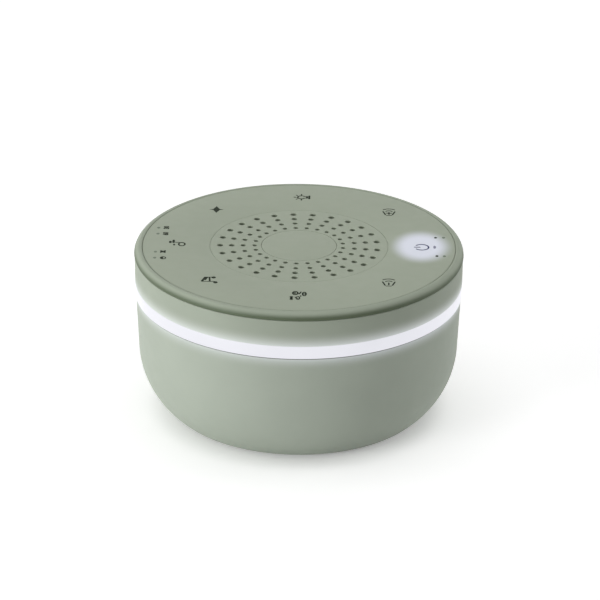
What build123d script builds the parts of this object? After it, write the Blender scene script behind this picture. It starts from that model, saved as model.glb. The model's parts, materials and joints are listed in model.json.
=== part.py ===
"""Nursery speaker: a low round bowl with a flat touch top, a perforated grille and a lit band.

Millimetres, +Z up. The origin is on the table under the centre of the foot. +X points to the
power key, and the other keys stand at multiples of 45 degrees round the top.
"""

from math import acos, atan2, cos, degrees, dist, radians, sin, tan
import os

from build123d import *

os.makedirs("parts", exist_ok=True)

# Outside: heights of the stack, from the table up
foot_stand = 0.8
bowl_h = 44.95
seam_gap = 0.3
band_h = 4.7
wall_h = 9.95
lid_rim_h = 2.9

# Outside: radii and roundings
lid_r = 60.0
lid_top_round = 2.4
lid_under_round = 0.35
lid_rim_w = 3.1
lid_overhang = 0.4
band_overhang = 0.4
bowl_draft = 2.5
side_arc_r = 29.0
side_arc_end = 52.5
base_arc_r = 5.8
shell_wall = 2.4
inside_bands = 4
lip_wall = 1.35
root_depth = 0.6

# Clearances
fit_gap = 0.2
slide_gap = 0.1
glue_gap = 0.1
edge_gap = 0.7

# Top: inlaid touch panel, grille and centre disc
panel_groove = 0.25
panel_t = 1.6
web_t = 1.3
grille_r = 32.4
inlay_gap = 0.12
ledge_w = 1.8
cloth_t = 0.4
centre_r = 13.65
centre_t = 0.8

# Grille: spokes of holes that grow outwards
spokes = 25
spoke_start = 8.74
hole_rings = 4
first_ring_r = 16.16
ring_pitch = 4.17
first_hole_d = 1.7
hole_growth = 0.2
hole_sides = 12

# Lid: skirt with snap nubs, ring that carries the loudspeaker, pins that hold the touch board
skirt_h = 3.0
skirt_wall = 1.7
nub_count = 6
nub_w = 8.0
nub_h = 0.8
nub_reach = 0.4
nub_drop = 1.2
speaker_ring_h = 3.5
speaker_ring_w = 4.4
key_count = 8
pin_inset = 3.8
pin_count = 4
pin_post_r = 1.8
pin_r = 0.9
pin_end = 0.5

# Power key: elliptical light guide
guide_gap = 0.35
guide_ry = 12.4
guide_flange = 0.9
guide_flange_t = 0.6

# Small lights beside the printed marks
led_window_l = 1.6
led_window_w = 1.0
led_h = 0.6
left_lights_inset = 5.2
left_lights_y = (14.5, 8.9, -7.4, -13.0)
right_lights_inset = 4.3
right_lights_y = (8.9, -7.8)
power_led_l = 2.0
power_led_w = 1.6
power_led_pitch = 5.0

# Touch board
touch_board_t = 1.2
touch_board_drop = 1.9
touch_pad_r = 3.5
touch_chip_w = 7.0
touch_chip_h = 1.2
touch_plug_h = 1.6

# Wall above the band, with the deck inside it
deck_t = 1.6
deck_lift = 1.45
groove_h = 1.4
groove_depth = 0.6

# Screw towers, shared by bowl, tray, deck and screws
tower_count = 3
tower_r = 3.6
tower_clear = 1.2
tower_bore_r = 2.5
tower_cap = 3.0
screw_hole_r = 1.45
screw_r = 1.25
screw_len = 9.0
screw_head_r = 2.3
screw_head_h = 1.8
screw_sides = 8
rib_t = 1.6
rib_h = 8.4

# Lit band: white tray, light board and lights
tray_t = 1.2
tray_drop = 0.55
tray_gap = 0.3
tray_rim_w = 1.95
baffle_wall = 1.0
baffle_gap = 0.6
band_lip_down = 2.4
band_lip_up = 1.3
light_board_t = 1.2
light_count = 24
light_w = 3.0
light_d = 1.4
light_h = 1.6
light_plug_inset = 1.4
light_plug_h = 2.5

# Loudspeaker, from the lid's ring down
gasket_t = 0.8
flange_r = 33.0
flange_t = 1.0
speaker_screw_ring_r = 31.1
speaker_screw_count = 4
speaker_screw_r = 0.95
speaker_screw_hole_r = 1.1
speaker_screw_len = 5.0
speaker_screw_head_r = 1.9
speaker_screw_head_h = 1.4
basket_mouth_r = 26.6
basket_depth = 12.5
basket_bore_gap = 0.6
pressed_slant = 0.5
basket_slant_w = 5.6
spider_ledge_w = 2.6
spider_ledge_h = 1.7
window_w = 24.0
window_reach = 16.0
window_h = 6.6
window_sill = 2.6
top_plate_t = 3.0
top_plate_r = 19.0
magnet_t = 8.0
magnet_r = 20.0
magnet_bore_r = 12.0
yoke_t = 2.5
pole_r = 9.2
pole_short = 0.3
air_gap = 2.0

# Loudspeaker: what moves, and what flexes
travel = 1.5
former_r = 10.0
former_t = 0.25
former_h = 11.0
winding_t = 0.55
cone_lip_w = 1.1
cone_t = 0.5
cone_depth = 7.6
cap_r = 11.2
cap_h = 3.0
cap_t = 0.3
cap_bands = 3
surround_t = 0.4
surround_lip_w = 2.2
roll_r = 1.75
roll_bands = 4
spider_t = 0.4
spider_waves = 3
spider_wave_h = 0.9

# Terminals and leads
strip_w = 8.0
strip_t = 1.2
strip_h = 6.0
wire_d = 1.2
wire_sides = 8
wire_pitch = 2.0
bend_share = 0.45
ribbon_w = 8.0
ribbon_t = 0.3
lead_offset = 3.0
plug_side = 1.0
slot_w = 3.0
slot_l = 12.0

# Main board in the bowl
board_wall_gap = 2.0
board_cell_gap = 3.2
board_lift = 8.8
board_t = 1.6
board_hole_gap = 0.6
post_r = 2.4
post_inset = 6.6
post_turns = (103.5, 150.0, -150.0, -103.5)
board_screw_r = 0.9
board_screw_len = 6.0
board_screw_head_r = 1.9
board_screw_head_h = 1.3
plug_h = 4.0
plug_l = 6.0
plug_d = 4.4
chip_spots = (
    (-20.0, 0.0, 10.0, 1.0),
    (-9.0, -14.0, 6.0, 1.5),
    (-30.0, -15.0, 5.0, 1.2),
    (-40.0, 9.0, 4.0, 0.9),
)
cap_spots = ((-8.0, 12.0), (-8.0, 20.5))
capacitor_r = 3.15
capacitor_h = 7.7
coil_spot = (-23.0, 15.0)
coil_w = 7.0
coil_h = 3.6
coil_round = 0.9

# Charging inlet at the back, opposite the power key
usb_w = 8.94
usb_h = 3.26
usb_l = 7.6
usb_wall = 0.3
usb_tongue_h = 0.7
usb_back = 0.5

# Battery
cell_r = 9.3
cell_l = 65.2
cell_gap = 3.1
cradle_t = 1.6
cradle_w = 15.0
cradle_side = 1.5
saddle_w = 6.0
saddle_y = 20.0
stop_w = 9.0
stop_t = 1.6
stop_h = 9.0
stop_round = 1.4

# Rubber foot
foot_w = 7.8
foot_seat = 1.0
foot_round = 0.35

# Levels above the table
bowl_rim_z = foot_stand + bowl_h
band_bottom_z = bowl_rim_z + seam_gap
band_top_z = band_bottom_z + band_h
wall_top_z = band_top_z + wall_h
top_z = wall_top_z + lid_rim_h
panel_seat_z = top_z - panel_t
web_bottom_z = panel_seat_z - web_t
deck_bottom_z = band_top_z + deck_lift
deck_top_z = deck_bottom_z + deck_t
tray_bottom_z = bowl_rim_z - tray_drop
tray_top_z = tray_bottom_z + tray_t
floor_top_z = foot_stand + shell_wall
groove_top_z = foot_stand + foot_seat
board_z = floor_top_z + board_lift
board_top_z = board_z + board_t
touch_board_z = web_bottom_z - touch_board_drop - touch_board_t
touch_board_top_z = touch_board_z + touch_board_t
light_board_z = tray_top_z
light_board_top_z = light_board_z + light_board_t
speaker_seat_z = web_bottom_z - speaker_ring_h
flange_top_z = speaker_seat_z - gasket_t
flange_bottom_z = flange_top_z - flange_t
basket_bottom_z = flange_top_z - basket_depth - flange_t
plate_top_z = basket_bottom_z
plate_bottom_z = plate_top_z - top_plate_t
magnet_bottom_z = plate_bottom_z - magnet_t
yoke_bottom_z = magnet_bottom_z - yoke_t
spider_seat_z = basket_bottom_z + flange_t + spider_ledge_h
winding_bottom_z = plate_bottom_z - travel
neck_z = flange_top_z - cone_depth
nub_mid_z = web_bottom_z - nub_drop
tower_top_z = tray_bottom_z
plug_top_z = board_top_z + plug_h
cell_z = floor_top_z + cradle_t + cell_r + slide_gap
usb_z = board_top_z + usb_h / 2

# Radii and places that follow from the ones above
wall_r = lid_r - lid_overhang
bowl_r = wall_r - band_overhang
panel_r = lid_r - lid_rim_w
recess_r = panel_r + panel_groove
key_ring_r = (grille_r + panel_r) / 2
left_lights_x = left_lights_inset - panel_r
right_lights_x = panel_r - right_lights_inset
grille_seat_r = grille_r - ledge_w
wall_in_r = wall_r - shell_wall
skirt_r = wall_in_r - fit_gap
skirt_in_r = skirt_r - skirt_wall
pin_ring_r = skirt_in_r - pin_inset
band_in_r = wall_in_r - fit_gap - lip_wall
speaker_ring_r = grille_seat_r + speaker_ring_w
guide_rx = key_ring_r - speaker_ring_r - guide_flange - guide_gap
core_r = flange_r + fit_gap
tower_ring_r = core_r + fit_gap + tower_r
lead_ring_r = tower_ring_r + lead_offset
touch_board_in_r = speaker_ring_r + edge_gap
touch_board_out_r = skirt_in_r - edge_gap
tray_r = band_in_r - tray_gap
baffle_r = tower_ring_r + tower_r + tower_clear + baffle_wall
light_board_in_r = baffle_r + baffle_gap
light_board_out_r = tray_r - tray_rim_w
light_plug_in_r = light_board_in_r + light_plug_inset
foot_in_r = tower_ring_r - foot_w / 2
foot_out_r = foot_in_r + foot_w
basket_bore_r = pole_r + air_gap + basket_bore_gap
spider_ledge_r = basket_mouth_r - basket_slant_w
spider_ledge_in_r = spider_ledge_r - spider_ledge_w
cone_edge_r = basket_mouth_r - 2 * roll_r - slide_gap
lip_in_r = cone_edge_r - cone_lip_w
strip_x = -(flange_r - strip_t)
ribbon_plug_x = ribbon_w / 2 + plug_side
cell_x = tower_ring_r - tower_r - cell_gap - cell_r
board_edge_x = cell_x - cell_r - board_cell_gap
battery_plug_x = board_edge_x - plug_d
battery_plug_y = cell_l / 4

# The bowl's section: centres of its two arcs, and where its drafted side meets the large one
corner_z = foot_stand + base_arc_r
side_arc_z = corner_z + (side_arc_r - base_arc_r) * sin(radians(side_arc_end))
side_end_z = side_arc_z - side_arc_r * sin(radians(bowl_draft))
side_end_r = bowl_r - (bowl_rim_z - side_end_z) * tan(radians(bowl_draft))
side_arc_x = side_end_r - side_arc_r * cos(radians(bowl_draft))
corner_x = side_arc_x + (side_arc_r - base_arc_r) * cos(radians(side_arc_end))
usb_face_x = usb_back - side_arc_x - (side_arc_r**2 - (side_arc_z - usb_z) ** 2) ** 0.5

# Main board: its edge keeps its gap from the bowl's wall, and the posts stand inside its edge
inside_arc_r = side_arc_r - shell_wall
board_r = side_arc_x + (inside_arc_r**2 - (side_arc_z - board_z) ** 2) ** 0.5 - board_wall_gap
post_ring_r = board_r - post_inset
post_spots = [(post_ring_r * cos(radians(turn)), post_ring_r * sin(radians(turn))) for turn in post_turns]


def arc_points(centre_r, centre_z, radius, start, end, bands):
    """Ends of equal flat bands along an arc, from start to end degrees above the horizontal."""
    turns = [radians(start + (end - start) * band / bands) for band in range(bands + 1)]
    return [(centre_r + radius * cos(turn), centre_z + radius * sin(turn)) for turn in turns]


def bowl_inside(inset):
    """Half section of the bowl moved inwards by inset, its round stretches laid in flat bands."""
    rim = (bowl_r - inset / cos(radians(bowl_draft)), bowl_rim_z)
    side_r = side_arc_r - inset
    side = arc_points(side_arc_x, side_arc_z, side_r, -bowl_draft, -side_arc_end, inside_bands)
    floor = [(corner_x, foot_stand + inset), (0, foot_stand + inset), (0, bowl_rim_z)]
    with BuildSketch(Plane.XZ) as half:
        with BuildLine():
            Polyline(rim, *side, *floor, close=True)
        make_face()
    return half.sketch


def corner_radii(name, points):
    """Bend radius at each inner point of a lead: the largest that its two runs leave room for."""
    radii = []
    for before, corner, after in zip(points, points[1:], points[2:]):
        way_in = atan2(corner[1] - before[1], corner[0] - before[0])
        way_out = atan2(after[1] - corner[1], after[0] - corner[0])
        half_turn = abs((way_out - way_in + radians(180)) % radians(360) - radians(180)) / 2
        shorter_run = min(dist(before, corner), dist(corner, after))
        radii.append(bend_share * shorter_run / tan(half_turn))
    print(name, "bend radii", [round(radius, 1) for radius in radii])
    return radii


# Bowl: shell, foot groove, screw towers with ribs, board posts, inlet
with BuildPart() as base_shell:
    with BuildSketch(Plane.XZ):
        with BuildLine():
            side = Line((bowl_r, bowl_rim_z), (side_end_r, side_end_z))
            shoulder = JernArc(side @ 1, side % 1, side_arc_r, bowl_draft - side_arc_end)
            corner = JernArc(shoulder @ 1, shoulder % 1, base_arc_r, side_arc_end - 90)
            Polyline(corner @ 1, (0, foot_stand), (0, bowl_rim_z), side @ 0)
        make_face()
    revolve(axis=Axis.Z)
    revolve(bowl_inside(shell_wall), axis=Axis.Z, mode=Mode.SUBTRACT)
    with BuildSketch(Plane.XY.offset(floor_top_z - root_depth)):
        with PolarLocations(tower_ring_r, tower_count):
            Circle(tower_r)
    extrude(amount=tower_top_z - floor_top_z + root_depth)
    for turn in range(tower_count):
        with BuildSketch(Plane.XZ.rotated((0, 0, turn * 360 / tower_count))):
            add(bowl_inside(shell_wall - root_depth))
            with Locations((tower_ring_r + lid_r / 2, floor_top_z)):
                Rectangle(lid_r, 2 * rib_h, mode=Mode.INTERSECT)
        extrude(amount=rib_t / 2, both=True)
    with BuildSketch(Plane.XY.offset(floor_top_z - root_depth)):
        with Locations(*post_spots):
            Circle(post_r)
    extrude(amount=board_lift + root_depth)
    with BuildSketch(Plane.XY.offset(board_z)):
        with Locations(*post_spots):
            Circle(board_screw_r)
    extrude(amount=-board_screw_len, mode=Mode.SUBTRACT)
    with BuildSketch(Plane.XY.offset(foot_stand)):
        Circle(foot_out_r + glue_gap)
        Circle(foot_in_r - glue_gap, mode=Mode.SUBTRACT)
    extrude(amount=foot_seat, mode=Mode.SUBTRACT)
    with BuildSketch(Plane.XY.offset(foot_stand)):
        with PolarLocations(tower_ring_r, tower_count):
            Circle(tower_bore_r)
    extrude(amount=tower_top_z - tower_cap - foot_stand, mode=Mode.SUBTRACT)
    with BuildSketch(Plane.XY.offset(tower_top_z)):
        with PolarLocations(tower_ring_r, tower_count):
            Circle(screw_hole_r)
    extrude(amount=-tower_cap, mode=Mode.SUBTRACT)
    with BuildSketch(Plane.YZ.offset(usb_face_x - 2 * usb_back)):
        with Locations((0, usb_z)):
            SlotOverall(usb_w + 2 * slide_gap, usb_h + 2 * slide_gap)
    extrude(amount=2 * shell_wall + 2 * usb_back, mode=Mode.SUBTRACT)
base_shell.part.label = "base_shell"
export_step(base_shell.part, "parts/base_shell.step")

# Foot: a rubber ring let into the floor over the screw towers
with BuildPart() as rubber_foot:
    with BuildSketch():
        Circle(foot_out_r)
        Circle(foot_in_r, mode=Mode.SUBTRACT)
    extrude(amount=groove_top_z)
    chamfer(rubber_foot.faces().sort_by(Axis.Z)[0].edges(), foot_round)
rubber_foot.part.label = "rubber_foot"
export_step(rubber_foot.part, "parts/rubber_foot.step")

# Wall above the band, with the deck that closes the light chamber and carries the screw posts
with BuildPart() as upper_shell:
    with BuildSketch(Plane.XZ):
        with BuildLine():
            Polyline(
                (wall_r, band_top_z),
                (wall_r, wall_top_z),
                (wall_in_r, wall_top_z),
                (wall_in_r, deck_top_z),
                (core_r, deck_top_z),
                (core_r, deck_bottom_z),
                (wall_in_r, deck_bottom_z),
                (wall_in_r, band_top_z),
                close=True,
            )
        make_face()
    revolve(axis=Axis.Z)
    with BuildSketch(Plane.XY.offset(nub_mid_z - groove_h / 2)):
        Circle(wall_in_r + groove_depth)
        Circle(wall_in_r - groove_depth, mode=Mode.SUBTRACT)
    extrude(amount=groove_h, mode=Mode.SUBTRACT)
    with BuildSketch(Plane.XY.offset(tray_top_z)):
        with PolarLocations(tower_ring_r, tower_count):
            Circle(tower_r)
    extrude(amount=deck_top_z - tray_top_z)
    with BuildSketch(Plane.XY.offset(tray_top_z)):
        with PolarLocations(tower_ring_r, tower_count):
            Circle(screw_r + slide_gap / 2)
    extrude(amount=deck_bottom_z - tray_top_z, mode=Mode.SUBTRACT)
    with BuildSketch(Plane.XY.offset(deck_bottom_z)):
        with Locations((0, lead_ring_r), (0, -lead_ring_r)):
            Rectangle(slot_l, slot_w)
    extrude(amount=deck_t, mode=Mode.SUBTRACT)
upper_shell.part.label = "upper_shell"
export_step(upper_shell.part, "parts/upper_shell.step")

# Lid: rounded rim, recess for the panel, skirt with snap nubs, loudspeaker ring, board pins
with BuildPart() as top_cover:
    with BuildSketch(Plane.XZ):
        with BuildLine():
            rim_top = Line((recess_r, top_z), (lid_r - lid_top_round, top_z))
            rim_round = JernArc(rim_top @ 1, rim_top % 1, lid_top_round, -90)
            rim_side = Line(rim_round @ 1, (lid_r, wall_top_z + lid_under_round))
            rim_under = Line(rim_side @ 1, (lid_r - lid_under_round, wall_top_z))
            Polyline(
                rim_under @ 1,
                (skirt_r, wall_top_z),
                (skirt_r, web_bottom_z - skirt_h),
                (skirt_in_r, web_bottom_z - skirt_h),
                (skirt_in_r, web_bottom_z),
                (speaker_ring_r, web_bottom_z),
                (speaker_ring_r, speaker_seat_z),
                (grille_seat_r, speaker_seat_z),
                (grille_seat_r, panel_seat_z),
                (recess_r, panel_seat_z),
                rim_top @ 0,
            )
        make_face()
    revolve(axis=Axis.Z)
    with BuildSketch(Plane.XY.offset(nub_mid_z - nub_h / 2)):
        Circle(skirt_r + nub_reach)
        Circle(skirt_r - skirt_wall / 2, mode=Mode.SUBTRACT)
        with PolarLocations(skirt_r, nub_count, start_angle=90 / nub_count):
            Rectangle(2 * skirt_wall, nub_w, mode=Mode.INTERSECT)
    extrude(amount=nub_h)
    with BuildSketch(Plane.XY.offset(touch_board_top_z)):
        with PolarLocations(pin_ring_r, pin_count, start_angle=180 / key_count):
            Circle(pin_post_r)
    extrude(amount=panel_seat_z - touch_board_top_z - web_t / 2)
    with BuildSketch(Plane.XY.offset(touch_board_z - pin_end)):
        with PolarLocations(pin_ring_r, pin_count, start_angle=180 / key_count):
            Circle(pin_r)
    extrude(amount=touch_board_t + 2 * pin_end)
    with BuildSketch(Plane.XY.offset(web_bottom_z)):
        with Locations((key_ring_r, 0)):
            Ellipse(guide_rx + slide_gap, guide_ry + slide_gap)
        with Locations(*[(left_lights_x, y) for y in left_lights_y]):
            Rectangle(led_window_l, led_window_w)
        with Locations(*[(right_lights_x, y) for y in right_lights_y]):
            Rectangle(led_window_l, led_window_w)
    extrude(amount=web_t, mode=Mode.SUBTRACT)
    with BuildSketch(Plane.XY.offset(speaker_seat_z)):
        with PolarLocations(speaker_screw_ring_r, speaker_screw_count, start_angle=45):
            Circle(speaker_screw_r + slide_gap / 2)
    extrude(amount=speaker_ring_h, mode=Mode.SUBTRACT)
top_cover.part.label = "top_cover"
export_step(top_cover.part, "parts/top_cover.step")

# Touch panel: the printed ring that lies in the lid's recess
with BuildPart() as touch_panel:
    with BuildSketch(Plane.XY.offset(panel_seat_z)):
        Circle(panel_r)
        Circle(grille_r + inlay_gap, mode=Mode.SUBTRACT)
    extrude(amount=panel_t)
touch_panel.part.label = "touch_panel"
export_step(touch_panel.part, "parts/touch_panel.step")

# Grille: a disc on the lid's ledge, drilled in spokes, with a shallow seat for the centre disc
with BuildPart() as grille_disc:
    with BuildSketch(Plane.XY.offset(panel_seat_z)):
        Circle(grille_r)
        for ring in range(hole_rings):
            ring_r = first_ring_r + ring * ring_pitch
            hole_r = (first_hole_d + ring * hole_growth) / 2
            with PolarLocations(ring_r, spokes, start_angle=spoke_start):
                RegularPolygon(hole_r, hole_sides, mode=Mode.SUBTRACT)
    extrude(amount=panel_t)
    with BuildSketch(Plane.XY.offset(top_z)):
        Circle(centre_r + inlay_gap)
    extrude(amount=-centre_t, mode=Mode.SUBTRACT)
grille_disc.part.label = "grille_disc"
export_step(grille_disc.part, "parts/grille_disc.step")

# Centre disc, let into the grille
with BuildPart() as centre_disc:
    with BuildSketch(Plane.XY.offset(top_z - centre_t)):
        Circle(centre_r)
    extrude(amount=centre_t)
centre_disc.part.label = "centre_disc"
export_step(centre_disc.part, "parts/centre_disc.step")

# Dust cloth under the holes
with BuildPart() as grille_cloth:
    with BuildSketch(Plane.XY.offset(panel_seat_z - cloth_t)):
        Circle(grille_seat_r - slide_gap)
    extrude(amount=cloth_t)
grille_cloth.part.label = "grille_cloth"
export_step(grille_cloth.part, "parts/grille_cloth.step")

# Light guide under the power key, held by its flange under the web
with BuildPart() as power_light_guide:
    with BuildSketch(Plane.XY.offset(web_bottom_z - guide_flange_t)):
        with Locations((key_ring_r, 0)):
            Ellipse(guide_rx + guide_flange, guide_ry + guide_flange)
    extrude(amount=guide_flange_t)
    with BuildSketch(Plane.XY.offset(web_bottom_z)):
        with Locations((key_ring_r, 0)):
            Ellipse(guide_rx, guide_ry)
    extrude(amount=web_t)
power_light_guide.part.label = "power_light_guide"
export_step(power_light_guide.part, "parts/power_light_guide.step")

# Touch board: a ring board on the lid's pins
with BuildPart() as touch_board:
    with BuildSketch(Plane.XY.offset(touch_board_z)):
        Circle(touch_board_out_r)
        Circle(touch_board_in_r, mode=Mode.SUBTRACT)
        with PolarLocations(pin_ring_r, pin_count, start_angle=180 / key_count):
            Circle(pin_r + slide_gap, mode=Mode.SUBTRACT)
    extrude(amount=touch_board_t)
touch_board.part.label = "touch_board"
export_step(touch_board.part, "parts/touch_board.step")

# Foam pads that carry each key's field from the board to the web
with BuildPart() as touch_pads:
    with BuildSketch(Plane.XY.offset(touch_board_top_z)):
        for key in range(1, key_count):
            with PolarLocations(key_ring_r, 1, start_angle=key * 360 / key_count):
                RegularPolygon(touch_pad_r, key_count)
    extrude(amount=web_bottom_z - touch_board_top_z)
touch_pads.part.label = "touch_pads"
export_step(touch_pads.part, "parts/touch_pads.step")

# Touch controller and the ribbon's socket, under the touch board
with BuildPart() as touch_chips:
    with BuildSketch(Plane.XY.offset(touch_board_z)):
        with Locations((0, -key_ring_r)):
            Rectangle(touch_chip_w, touch_chip_w)
    extrude(amount=-touch_chip_h)
    with BuildSketch(Plane.XY.offset(touch_board_z)):
        with Locations((0, lead_ring_r)):
            Rectangle(2 * ribbon_plug_x, slot_w)
    extrude(amount=-touch_plug_h)
touch_chips.part.label = "touch_chips"
export_step(touch_chips.part, "parts/touch_chips.step")

# Small lights on the touch board, under their windows
with BuildPart() as indicator_leds:
    with BuildSketch(Plane.XY.offset(touch_board_top_z)):
        with Locations(*[(left_lights_x, y) for y in left_lights_y]):
            Rectangle(led_window_l, led_window_w)
        with Locations(*[(right_lights_x, y) for y in right_lights_y]):
            Rectangle(led_window_l, led_window_w)
    extrude(amount=led_h)
indicator_leds.part.label = "indicator_leds"
export_step(indicator_leds.part, "parts/indicator_leds.step")

# Lights under the power key's guide
with BuildPart() as power_leds:
    with BuildSketch(Plane.XY.offset(touch_board_top_z)):
        with Locations((key_ring_r, 0)):
            with GridLocations(power_led_pitch, 2 * power_led_pitch, 2, 2):
                Rectangle(power_led_l, power_led_w)
    extrude(amount=led_h)
power_leds.part.label = "power_leds"
export_step(power_leds.part, "parts/power_leds.step")

# Lit band: the milky ring, with lips behind the wall above and inside the bowl below
with BuildPart() as light_ring:
    bowl_in_r = bowl_r - shell_wall / cos(radians(bowl_draft))
    down_r = bowl_in_r - (seam_gap + band_lip_down) * tan(radians(bowl_draft)) - slide_gap
    with BuildSketch(Plane.XZ):
        with BuildLine():
            Polyline(
                (band_in_r, band_bottom_z - band_lip_down),
                (down_r, band_bottom_z - band_lip_down),
                (down_r, band_bottom_z),
                (wall_r, band_bottom_z),
                (wall_r, band_top_z),
                (wall_in_r - fit_gap, band_top_z),
                (wall_in_r - fit_gap, band_top_z + band_lip_up),
                (band_in_r, band_top_z + band_lip_up),
                close=True,
            )
        make_face()
    revolve(axis=Axis.Z)
light_ring.part.label = "light_ring"
export_step(light_ring.part, "parts/light_ring.step")

# White tray on the towers, with a baffle wall that throws the light outwards
with BuildPart() as light_tray:
    with BuildSketch(Plane.XY.offset(tray_bottom_z)):
        Circle(tray_r)
        Circle(core_r, mode=Mode.SUBTRACT)
        with PolarLocations(tower_ring_r, tower_count):
            Circle(screw_hole_r, mode=Mode.SUBTRACT)
        with Locations((0, lead_ring_r), (0, -lead_ring_r)):
            Rectangle(slot_l, slot_w, mode=Mode.SUBTRACT)
    extrude(amount=tray_t)
    with BuildSketch(Plane.XY.offset(tray_top_z)):
        Circle(baffle_r)
        Circle(baffle_r - baffle_wall, mode=Mode.SUBTRACT)
        with Locations((0, -baffle_r)):
            Rectangle(slot_l, 4 * slot_w, mode=Mode.SUBTRACT)
    extrude(amount=deck_bottom_z - fit_gap - tray_top_z)
light_tray.part.label = "light_tray"
export_step(light_tray.part, "parts/light_tray.step")

# Light board, a flat ring on the tray
with BuildPart() as light_board:
    with BuildSketch(Plane.XY.offset(light_board_z)):
        Circle(light_board_out_r)
        Circle(light_board_in_r, mode=Mode.SUBTRACT)
    extrude(amount=light_board_t)
light_board.part.label = "light_board"
export_step(light_board.part, "parts/light_board.step")

# Lights of the band
with BuildPart() as light_leds:
    with BuildSketch(Plane.XY.offset(light_board_top_z)):
        with PolarLocations(light_board_out_r - light_d, light_count, start_angle=180 / light_count):
            Rectangle(light_d, light_w)
    extrude(amount=light_h)
light_leds.part.label = "light_leds"
export_step(light_leds.part, "parts/light_leds.step")

# Socket of the light board's lead, beside the baffle's gap
with BuildPart() as light_socket:
    with BuildSketch(Plane.XY.offset(light_board_top_z)):
        with Locations((0, -light_plug_in_r - plug_d / 2)):
            Rectangle(plug_l, plug_d)
    extrude(amount=light_plug_h)
light_socket.part.label = "light_socket"
export_step(light_socket.part, "parts/light_socket.step")

# Loudspeaker gasket between the basket's flange and the lid
with BuildPart() as speaker_gasket:
    with BuildSketch(Plane.XY.offset(flange_top_z)):
        Circle(flange_r)
        Circle(basket_mouth_r + surround_lip_w + fit_gap, mode=Mode.SUBTRACT)
        with PolarLocations(speaker_screw_ring_r, speaker_screw_count, start_angle=45):
            Circle(speaker_screw_hole_r, mode=Mode.SUBTRACT)
    extrude(amount=gasket_t)
speaker_gasket.part.label = "speaker_gasket"
export_step(speaker_gasket.part, "parts/speaker_gasket.step")

# Basket: pressed steel with a flange, slanted windowed sides, a spider ledge and a floor
with BuildPart() as speaker_basket:
    with BuildSketch(Plane.XZ):
        with BuildLine():
            Polyline(
                (basket_bore_r, basket_bottom_z),
                (spider_ledge_in_r, basket_bottom_z),
                (spider_ledge_in_r + pressed_slant, spider_seat_z - flange_t),
                (spider_ledge_r + flange_t, spider_seat_z - flange_t),
                (basket_mouth_r + flange_t, flange_bottom_z),
                (flange_r, flange_bottom_z),
                (flange_r, flange_top_z),
                (basket_mouth_r, flange_top_z),
                (spider_ledge_r, spider_seat_z),
                (spider_ledge_in_r - flange_t + pressed_slant, spider_seat_z),
                (spider_ledge_in_r - flange_t, basket_bottom_z + flange_t),
                (basket_bore_r, basket_bottom_z + flange_t),
                close=True,
            )
        make_face()
    revolve(axis=Axis.Z)
    with BuildSketch(Plane.XY.offset(spider_seat_z + window_sill)):
        with PolarLocations(basket_mouth_r, speaker_screw_count, start_angle=45):
            Rectangle(window_reach, window_w)
    extrude(amount=window_h, mode=Mode.SUBTRACT)
    with BuildSketch(Plane.XY.offset(flange_bottom_z)):
        with PolarLocations(speaker_screw_ring_r, speaker_screw_count, start_angle=45):
            Circle(speaker_screw_hole_r)
    extrude(amount=flange_t, mode=Mode.SUBTRACT)
speaker_basket.part.label = "speaker_basket"
export_step(speaker_basket.part, "parts/speaker_basket.step")

# Screws that hold the loudspeaker to the lid
with BuildPart() as speaker_screws:
    with BuildSketch(Plane.XY.offset(flange_bottom_z)):
        with PolarLocations(speaker_screw_ring_r, speaker_screw_count, start_angle=45):
            RegularPolygon(speaker_screw_head_r, screw_sides)
    extrude(amount=-speaker_screw_head_h)
    with BuildSketch(Plane.XY.offset(flange_bottom_z)):
        with PolarLocations(speaker_screw_ring_r, speaker_screw_count, start_angle=45):
            RegularPolygon(speaker_screw_r, screw_sides)
    extrude(amount=speaker_screw_len)
speaker_screws.part.label = "speaker_screws"
export_step(speaker_screws.part, "parts/speaker_screws.step")

# Magnet system: top plate, ring magnet, yoke with its pole
with BuildPart() as top_plate:
    with BuildSketch(Plane.XY.offset(plate_bottom_z)):
        Circle(top_plate_r)
        Circle(pole_r + air_gap, mode=Mode.SUBTRACT)
    extrude(amount=top_plate_t)
top_plate.part.label = "top_plate"
export_step(top_plate.part, "parts/top_plate.step")

with BuildPart() as magnet:
    with BuildSketch(Plane.XY.offset(magnet_bottom_z)):
        Circle(magnet_r)
        Circle(magnet_bore_r, mode=Mode.SUBTRACT)
    extrude(amount=magnet_t)
magnet.part.label = "magnet"
export_step(magnet.part, "parts/magnet.step")

with BuildPart() as pole_yoke:
    with BuildSketch(Plane.XY.offset(yoke_bottom_z)):
        Circle(top_plate_r)
    extrude(amount=yoke_t)
    with BuildSketch(Plane.XY.offset(magnet_bottom_z)):
        Circle(pole_r)
    extrude(amount=plate_top_z - pole_short - magnet_bottom_z)
pole_yoke.part.label = "pole_yoke"
export_step(pole_yoke.part, "parts/pole_yoke.step")

# Voice coil: the former with its winding, centred in the air gap
with BuildPart() as coil_former:
    with BuildSketch(Plane.XY.offset(winding_bottom_z)):
        Circle(former_r)
        Circle(former_r - former_t, mode=Mode.SUBTRACT)
    extrude(amount=former_h)
coil_former.part.label = "coil_former"
export_step(coil_former.part, "parts/coil_former.step")

with BuildPart() as coil_winding:
    with BuildSketch(Plane.XY.offset(winding_bottom_z)):
        Circle(former_r + winding_t)
        Circle(former_r, mode=Mode.SUBTRACT)
    extrude(amount=top_plate_t + 2 * travel)
coil_winding.part.label = "coil_winding"
export_step(coil_winding.part, "parts/coil_winding.step")

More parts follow.
